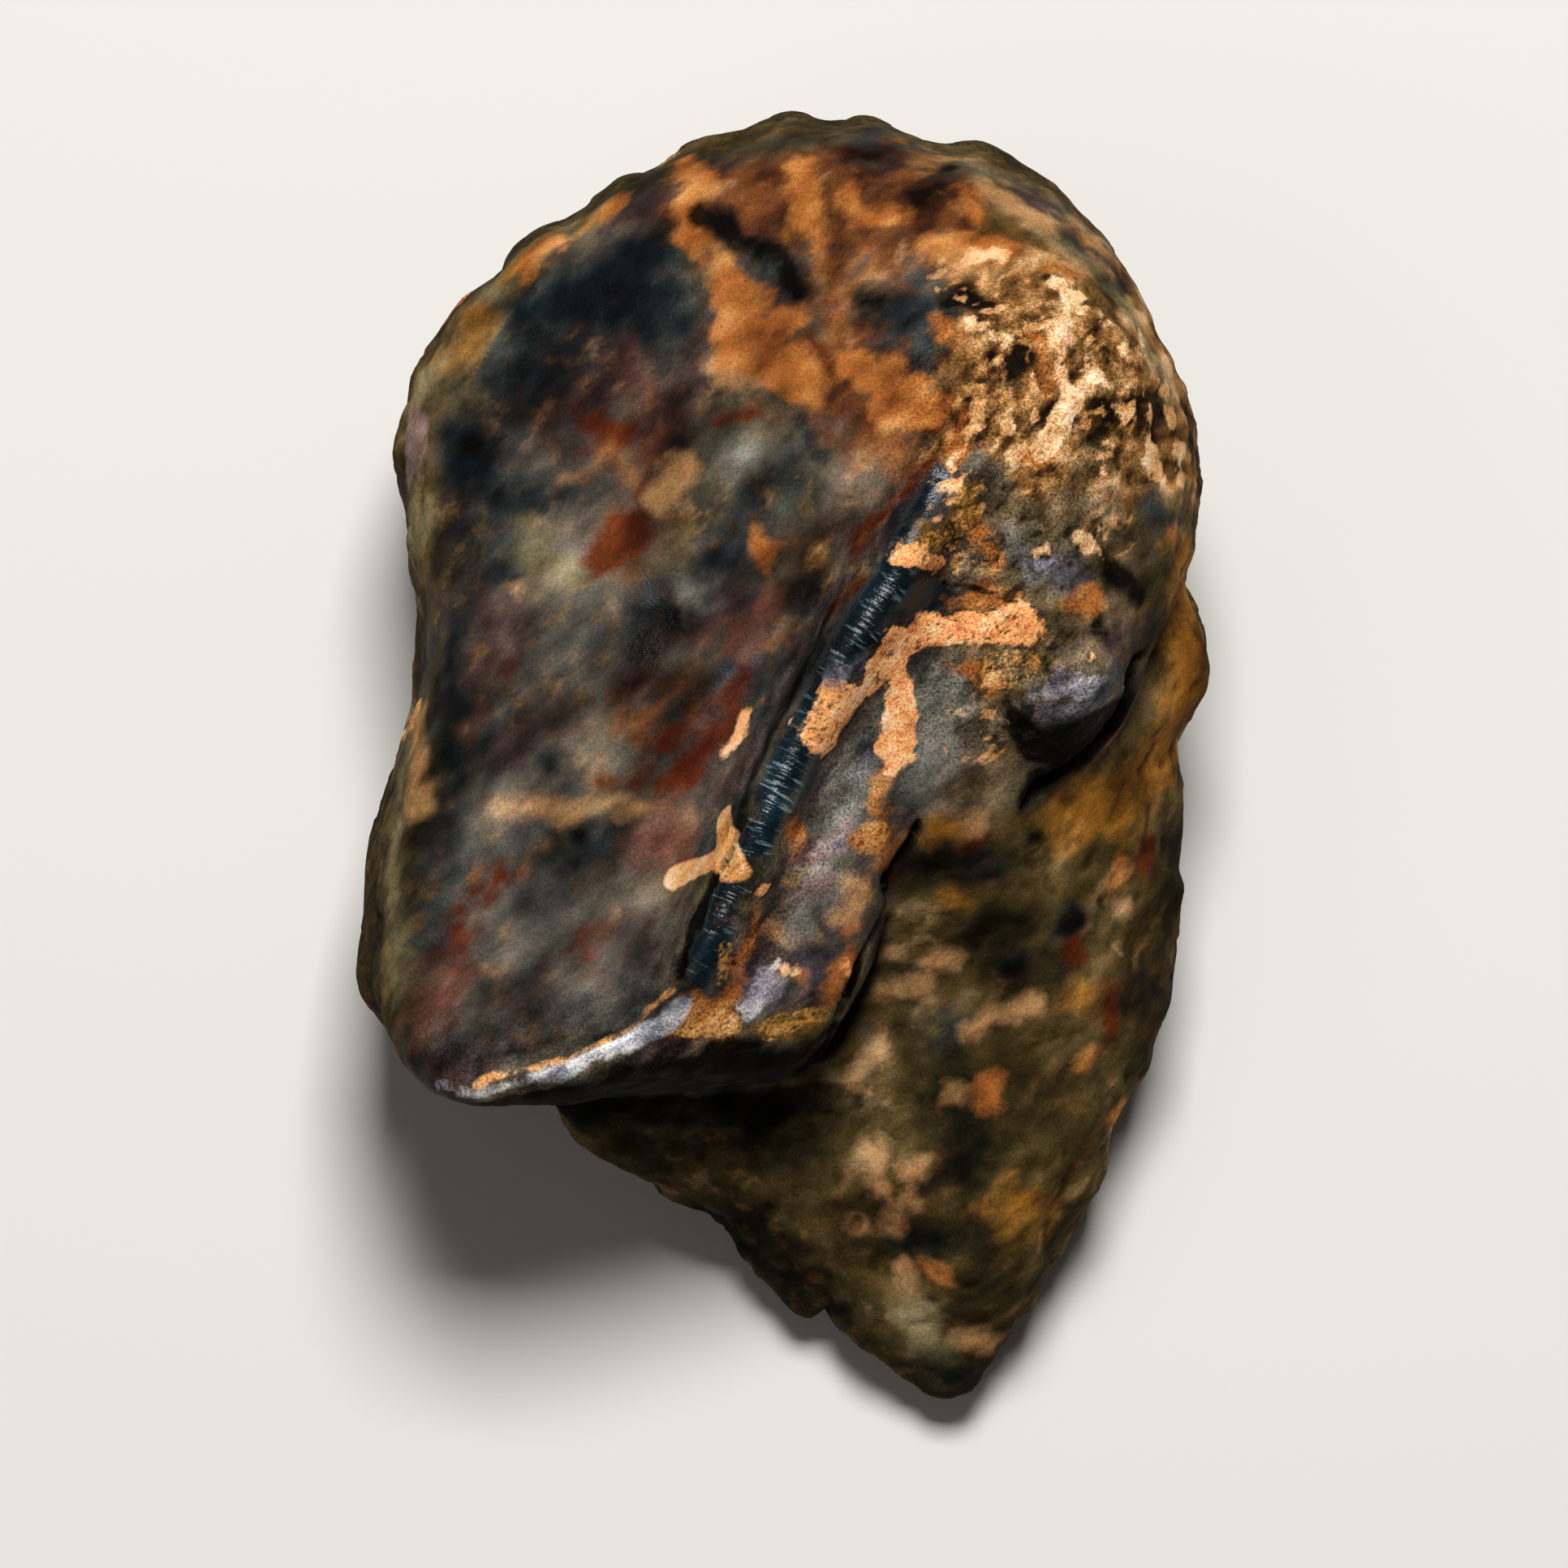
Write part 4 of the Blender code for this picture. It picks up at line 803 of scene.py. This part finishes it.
def stain_gap(tree, stain, patterns):
    """Distance from a stain's ragged edge, negative on the stain."""
    gap = add_node(tree, "Attribute", {"attribute_name": stain.name}).outputs["Fac"]
    if stain.specks:
        pattern, channel, level = stain.specks
        slope = 2.0 * SPECK_LENGTH[pattern]
        speck = add_node(tree, "Math", {"operation": "MULTIPLY_ADD"},
                         {0: patterns[pattern][channel], 1: -slope, 2: level * slope}).outputs[0]
        gap = add_node(tree, "Math", {"operation": "MAXIMUM" if stain.dotted else "MINIMUM"},
                       {0: gap, 1: speck}).outputs[0]
    gap = add_node(tree, "Math", {"operation": "MULTIPLY_ADD"},
                   {0: patterns["waver"], 1: stain.wobble, 2: gap}).outputs[0]
    return add_node(tree, "Math", {"operation": "MULTIPLY"}, {0: gap, 1: patterns["sharpness"]}).outputs[0]


def shaded(tree, shades, mottle):
    """Colour of a mineral, from hollow to crest as the mottle rises."""
    places = np.linspace(*SHADE_RANGE, len(shades)).tolist()
    stops = list(zip(places, map(linear, shades)))
    return add_node(tree, "ValToRGB", {}, {"Fac": mottle}, stops).outputs["Color"]


def lay_over(tree, below, above, value, edge, share=1.0, fade="SMOOTHSTEP"):
    """Lays a colour over another where the value passes an edge; gives the mix and its cover."""
    cover = add_node(tree, "MapRange", {"interpolation_type": fade},
                     {"Value": value, "From Min": edge[0], "From Max": edge[1], "To Max": share}).outputs[0]
    mixed = add_node(tree, "Mix", MIX_COLOUR, {0: cover, COLOUR_A: below, COLOUR_B: above})
    return mixed.outputs[COLOUR_OUT], cover


def lay_stain(tree, skin, stain, patterns, mottle):
    """Covers the skin's colour and gloss with a stain, and gives the new two."""
    shades = shaded(tree, stain.shades, mottle)
    gap = stain_gap(tree, stain, patterns)
    colour, cover = lay_over(tree, skin[0], shades, gap, (stain.soft, -stain.soft), stain.strength)
    gloss = add_node(tree, "Mix", {"data_type": "FLOAT"}, {0: cover, 2: skin[1], 3: stain.gloss})
    return colour, gloss.outputs[0]


def crown_tints(tree, place, mottle):
    """Matt colour of the bare crown, where smoky, wine and olive tints drift into each other."""
    drift = add_node(tree, "TexNoise", {},
                     {"Vector": place, "Scale": per_length(TINT_LENGTH), "Detail": 2.0}).outputs["Color"]
    channels = add_node(tree, "SeparateColor", {}, {"Color": drift}).outputs
    colour = shaded(tree, SMOKE, mottle)
    for channel, shades in ((1, OLIVE), (2, WINE)):
        shade = shaded(tree, shades, mottle)
        colour, _ = lay_over(tree, colour, shade, channels[channel], TINT_EDGE)
    return colour


def keel_ribs(tree):
    """Height of the short fine ribs that cross the keel, from about -0.5 to 0.5."""
    along, across, ribbed = (add_node(tree, "Attribute", {"attribute_name": name}).outputs["Fac"]
                             for name in ("keel_along", "keel_across", "ribbed"))
    place = add_node(tree, "CombineXYZ", {}, {"X": along, "Y": across}).outputs["Vector"]
    ribs = add_node(tree, "TexNoise", {},
                    {"Vector": place, "Scale": 1.0 / RIB_SPACING, "Detail": 1.0}).outputs["Fac"]
    ribs = add_node(tree, "MapRange", {"clamp": False},
                    {"Value": ribs, "To Min": -1.0, "To Max": 1.0}).outputs[0]
    return add_node(tree, "Math", {"operation": "MULTIPLY"}, {0: ribs, 1: ribbed}).outputs[0]


def skin_patterns(tree, streaky):
    """Gives the skin's uneven patterns, its specks' channels, and what its crispness changes."""
    patterns = {}
    for name, (length, detail, low, high) in PATTERNS.items():
        spread = add_node(tree, "TexNoise", {},
                          {"Vector": streaky, "Scale": per_length(length), "Detail": detail,
                           "Roughness": 0.6}).outputs["Fac"]
        patterns[name] = add_node(tree, "MapRange", {"clamp": False},
                                  {"Value": spread, "From Min": low, "From Max": high}).outputs[0]
    for name, length in SPECK_LENGTH.items():
        spread = add_node(tree, "TexNoise", {},
                          {"Vector": streaky, "Scale": per_length(length), "Detail": 1.5}).outputs["Color"]
        patterns[name] = add_node(tree, "SeparateColor", {}, {"Color": spread}).outputs
    crisp = add_node(tree, "Attribute", {"attribute_name": "crisp"}).outputs["Fac"]
    for name, (worn, sharp) in CRISP_SHARES.items():
        patterns[name] = add_node(tree, "MapRange", {},
                                  {"Value": crisp, "To Min": worn, "To Max": sharp}).outputs[0]
    return patterns


def fossil_skin_material():
    """Phosphate enamel and dentine, soaked with iron, manganese and lime while buried.

    To the eye: dark, glossy, blue-black enamel that is finely ribbed along the keel, a duller face
    blotched with rust and slate, an olive-brown root, and dry orange and cream crusts lying on them.
    Shade is painted dark in the hollows, crevices and under the lip and knob, and highlights are
    painted pale on the lip, the knob, the keel's ribs and the lower right face.
    """
    material = bpy.data.materials.new("fossil_enamel_and_dentine")
    material.use_nodes = True
    tree = material.node_tree
    tree.nodes.clear()
    place = add_node(tree, "TexCoord").outputs["Object"]
    streaky = add_node(tree, "Mapping", {"vector_type": "TEXTURE"},
                       {"Vector": place, "Rotation": (0.0, 0.0, STREAK_ANGLE),
                        "Scale": (STREAK_STRETCH, 1.0, 1.0)}).outputs["Vector"]
    flakes, hollow = (add_node(tree, "Attribute", {"attribute_name": name}).outputs["Fac"]
                      for name in ("flakes", "hollow"))
    patterns = skin_patterns(tree, streaky)
    mottle = add_node(tree, "Mix", {"data_type": "FLOAT"},
                      {0: patterns["patchiness"], 2: patterns["blotches"],
                       3: patterns["patches"]}).outputs[0]
    flaky = add_node(tree, "Math", {"operation": "MULTIPLY_ADD"},
                     {0: flakes, 1: FLAKE_SHADE, 2: mottle}).outputs[0]
    ribs = keel_ribs(tree)
    skin = (crown_tints(tree, streaky, mottle), CROWN_GLOSS)
    for stain in STAINS:
        skin = lay_stain(tree, skin, stain, patterns, flaky if stain.name == "crust" else mottle)
        if stain.name == "keel":
            # Painted glint: the crests of the keel's ribs are laid pale
            tint, rise, share = GLINT
            skin = (lay_over(tree, skin[0], linear(tint), ribs, rise, share, "LINEAR")[0], skin[1])
    colour, gloss = skin
    grains = add_node(tree, "TexNoise", {},
                      {"Vector": place, "Scale": per_length(GRAIN_LENGTH), "Detail": 2.5,
                       "Roughness": 0.8}).outputs["Fac"]
    tone = add_node(tree, "MapRange", {},
                    {"Value": grains, "From Min": GRAIN_RANGE[0], "From Max": GRAIN_RANGE[1]}).outputs[0]
    length, strength = HUE_DRIFT
    drift = add_node(tree, "TexNoise", {},
                     {"Vector": streaky, "Scale": per_length(length), "Detail": 3.0, "Roughness": 0.7})
    for pattern, share in ((tone, patterns["graininess"]), (drift.outputs["Color"], strength)):
        colour = add_node(tree, "Mix", {**MIX_COLOUR, "blend_type": "OVERLAY"},
                          {0: share, COLOUR_A: colour, COLOUR_B: pattern}).outputs[COLOUR_OUT]
    # Painted shade: the hollows are darkened by how deep they sit
    tint, depth, share = HOLLOW_SHADE
    colour, _ = lay_over(tree, colour, linear(tint), hollow, depth, share, "LINEAR")
    roughness = add_node(tree, "MapRange", {},
                         {"Value": gloss, "To Min": ROUGHNESS[0], "To Max": ROUGHNESS[1]}).outputs[0]
    height = add_node(tree, "Math", {"operation": "MULTIPLY"}, {0: ribs, 1: RIB_HEIGHT}).outputs[0]
    for pattern, rise in ((grains, GRAIN_HEIGHT), (patterns["patches"], PATCH_HEIGHT)):
        height = add_node(tree, "Math", {"operation": "MULTIPLY_ADD"},
                          {0: pattern, 1: rise, 2: height}).outputs[0]
    bump = add_node(tree, "Bump", {}, {"Distance": MM, "Height": height}).outputs["Normal"]
    shader = add_node(tree, "BsdfPrincipled", {},
                      {"Base Color": colour, "Roughness": roughness, "Normal": bump, "IOR": 1.5,
                       "Specular IOR Level": 0.03, "Coat Weight": gloss, "Coat Roughness": 0.2,
                       "Coat IOR": 1.6, "Coat Normal": bump})
    add_node(tree, "OutputMaterial", {}, {"Surface": shader.outputs["BSDF"]})
    return material


def floor_material():
    """Matt off-white card: pale, even and without gloss."""
    material = bpy.data.materials.new("matt_white_card")
    material.use_nodes = True
    shader = material.node_tree.nodes["Principled BSDF"]
    shader.inputs["Base Color"].default_value = linear("#dcd9d3")
    shader.inputs["Roughness"].default_value = 0.9
    return material


def make_stage():
    """Lays the floor and sets an even pale surrounding."""
    bpy.ops.mesh.primitive_circle_add(vertices=96, radius=FLOOR_RADIUS, fill_type="NGON")
    floor = bpy.context.object
    floor.name = "floor"
    floor.data.materials.append(floor_material())
    world = bpy.data.worlds.new("studio")
    world.use_nodes = True
    sky = world.node_tree.nodes["Background"]
    sky.inputs["Color"].default_value = linear("#f1efec")
    sky.inputs["Strength"].default_value = SKY_BRIGHTNESS
    bpy.context.scene.world = world


def add_light(to_world, name, direction, distance, size, brightness):
    """Hangs a square soft light that is aimed at the tooth."""
    lamp = bpy.data.lights.new(name, "AREA")
    lamp.shape = "SQUARE"
    lamp.size = size
    lamp.energy = brightness * (math.pi * distance) ** 2
    light = bpy.data.objects.new(name, lamp)
    bpy.context.scene.collection.objects.link(light)
    outward = (to_world.to_3x3() @ Vector(direction)).normalized()
    light.location = outward * distance
    light.rotation_euler = outward.to_track_quat("Z", "Y").to_euler()


def make_camera(to_world):
    """Sets the camera square to the enamel face, framed as the photograph is."""
    lens = bpy.data.cameras.new("camera")
    lens.lens = LENS
    lens.sensor_width = SENSOR
    lens.clip_start, lens.clip_end = VIEW_CLIP
    camera = bpy.data.objects.new("camera", lens)
    bpy.context.scene.collection.objects.link(camera)
    outward = (to_world.to_3x3() @ Vector((0.0, 0.0, 1.0))).normalized()
    distance = VIEW_WIDTH * MM * LENS / SENSOR
    camera.location = to_world @ Vector((0.0, -VIEW_DROP, VIEW_DEPTH)) + outward * distance
    camera.rotation_euler = outward.to_track_quat("Z", "Y").to_euler()
    bpy.context.scene.camera = camera


def make_tooth():
    """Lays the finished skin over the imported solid."""
    skin = fine_skin(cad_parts["tooth"])
    to_tooth = shape_skin(skin)
    skin.data.materials.append(fossil_skin_material())
    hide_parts("tooth")
    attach(skin, "root")
    return to_tooth.inverted()


to_world = make_tooth()
make_stage()
for light_name, settings in LIGHTS.items():
    add_light(to_world, light_name, *settings)
make_camera(to_world)
bpy.context.scene.view_settings.view_transform = "Standard"
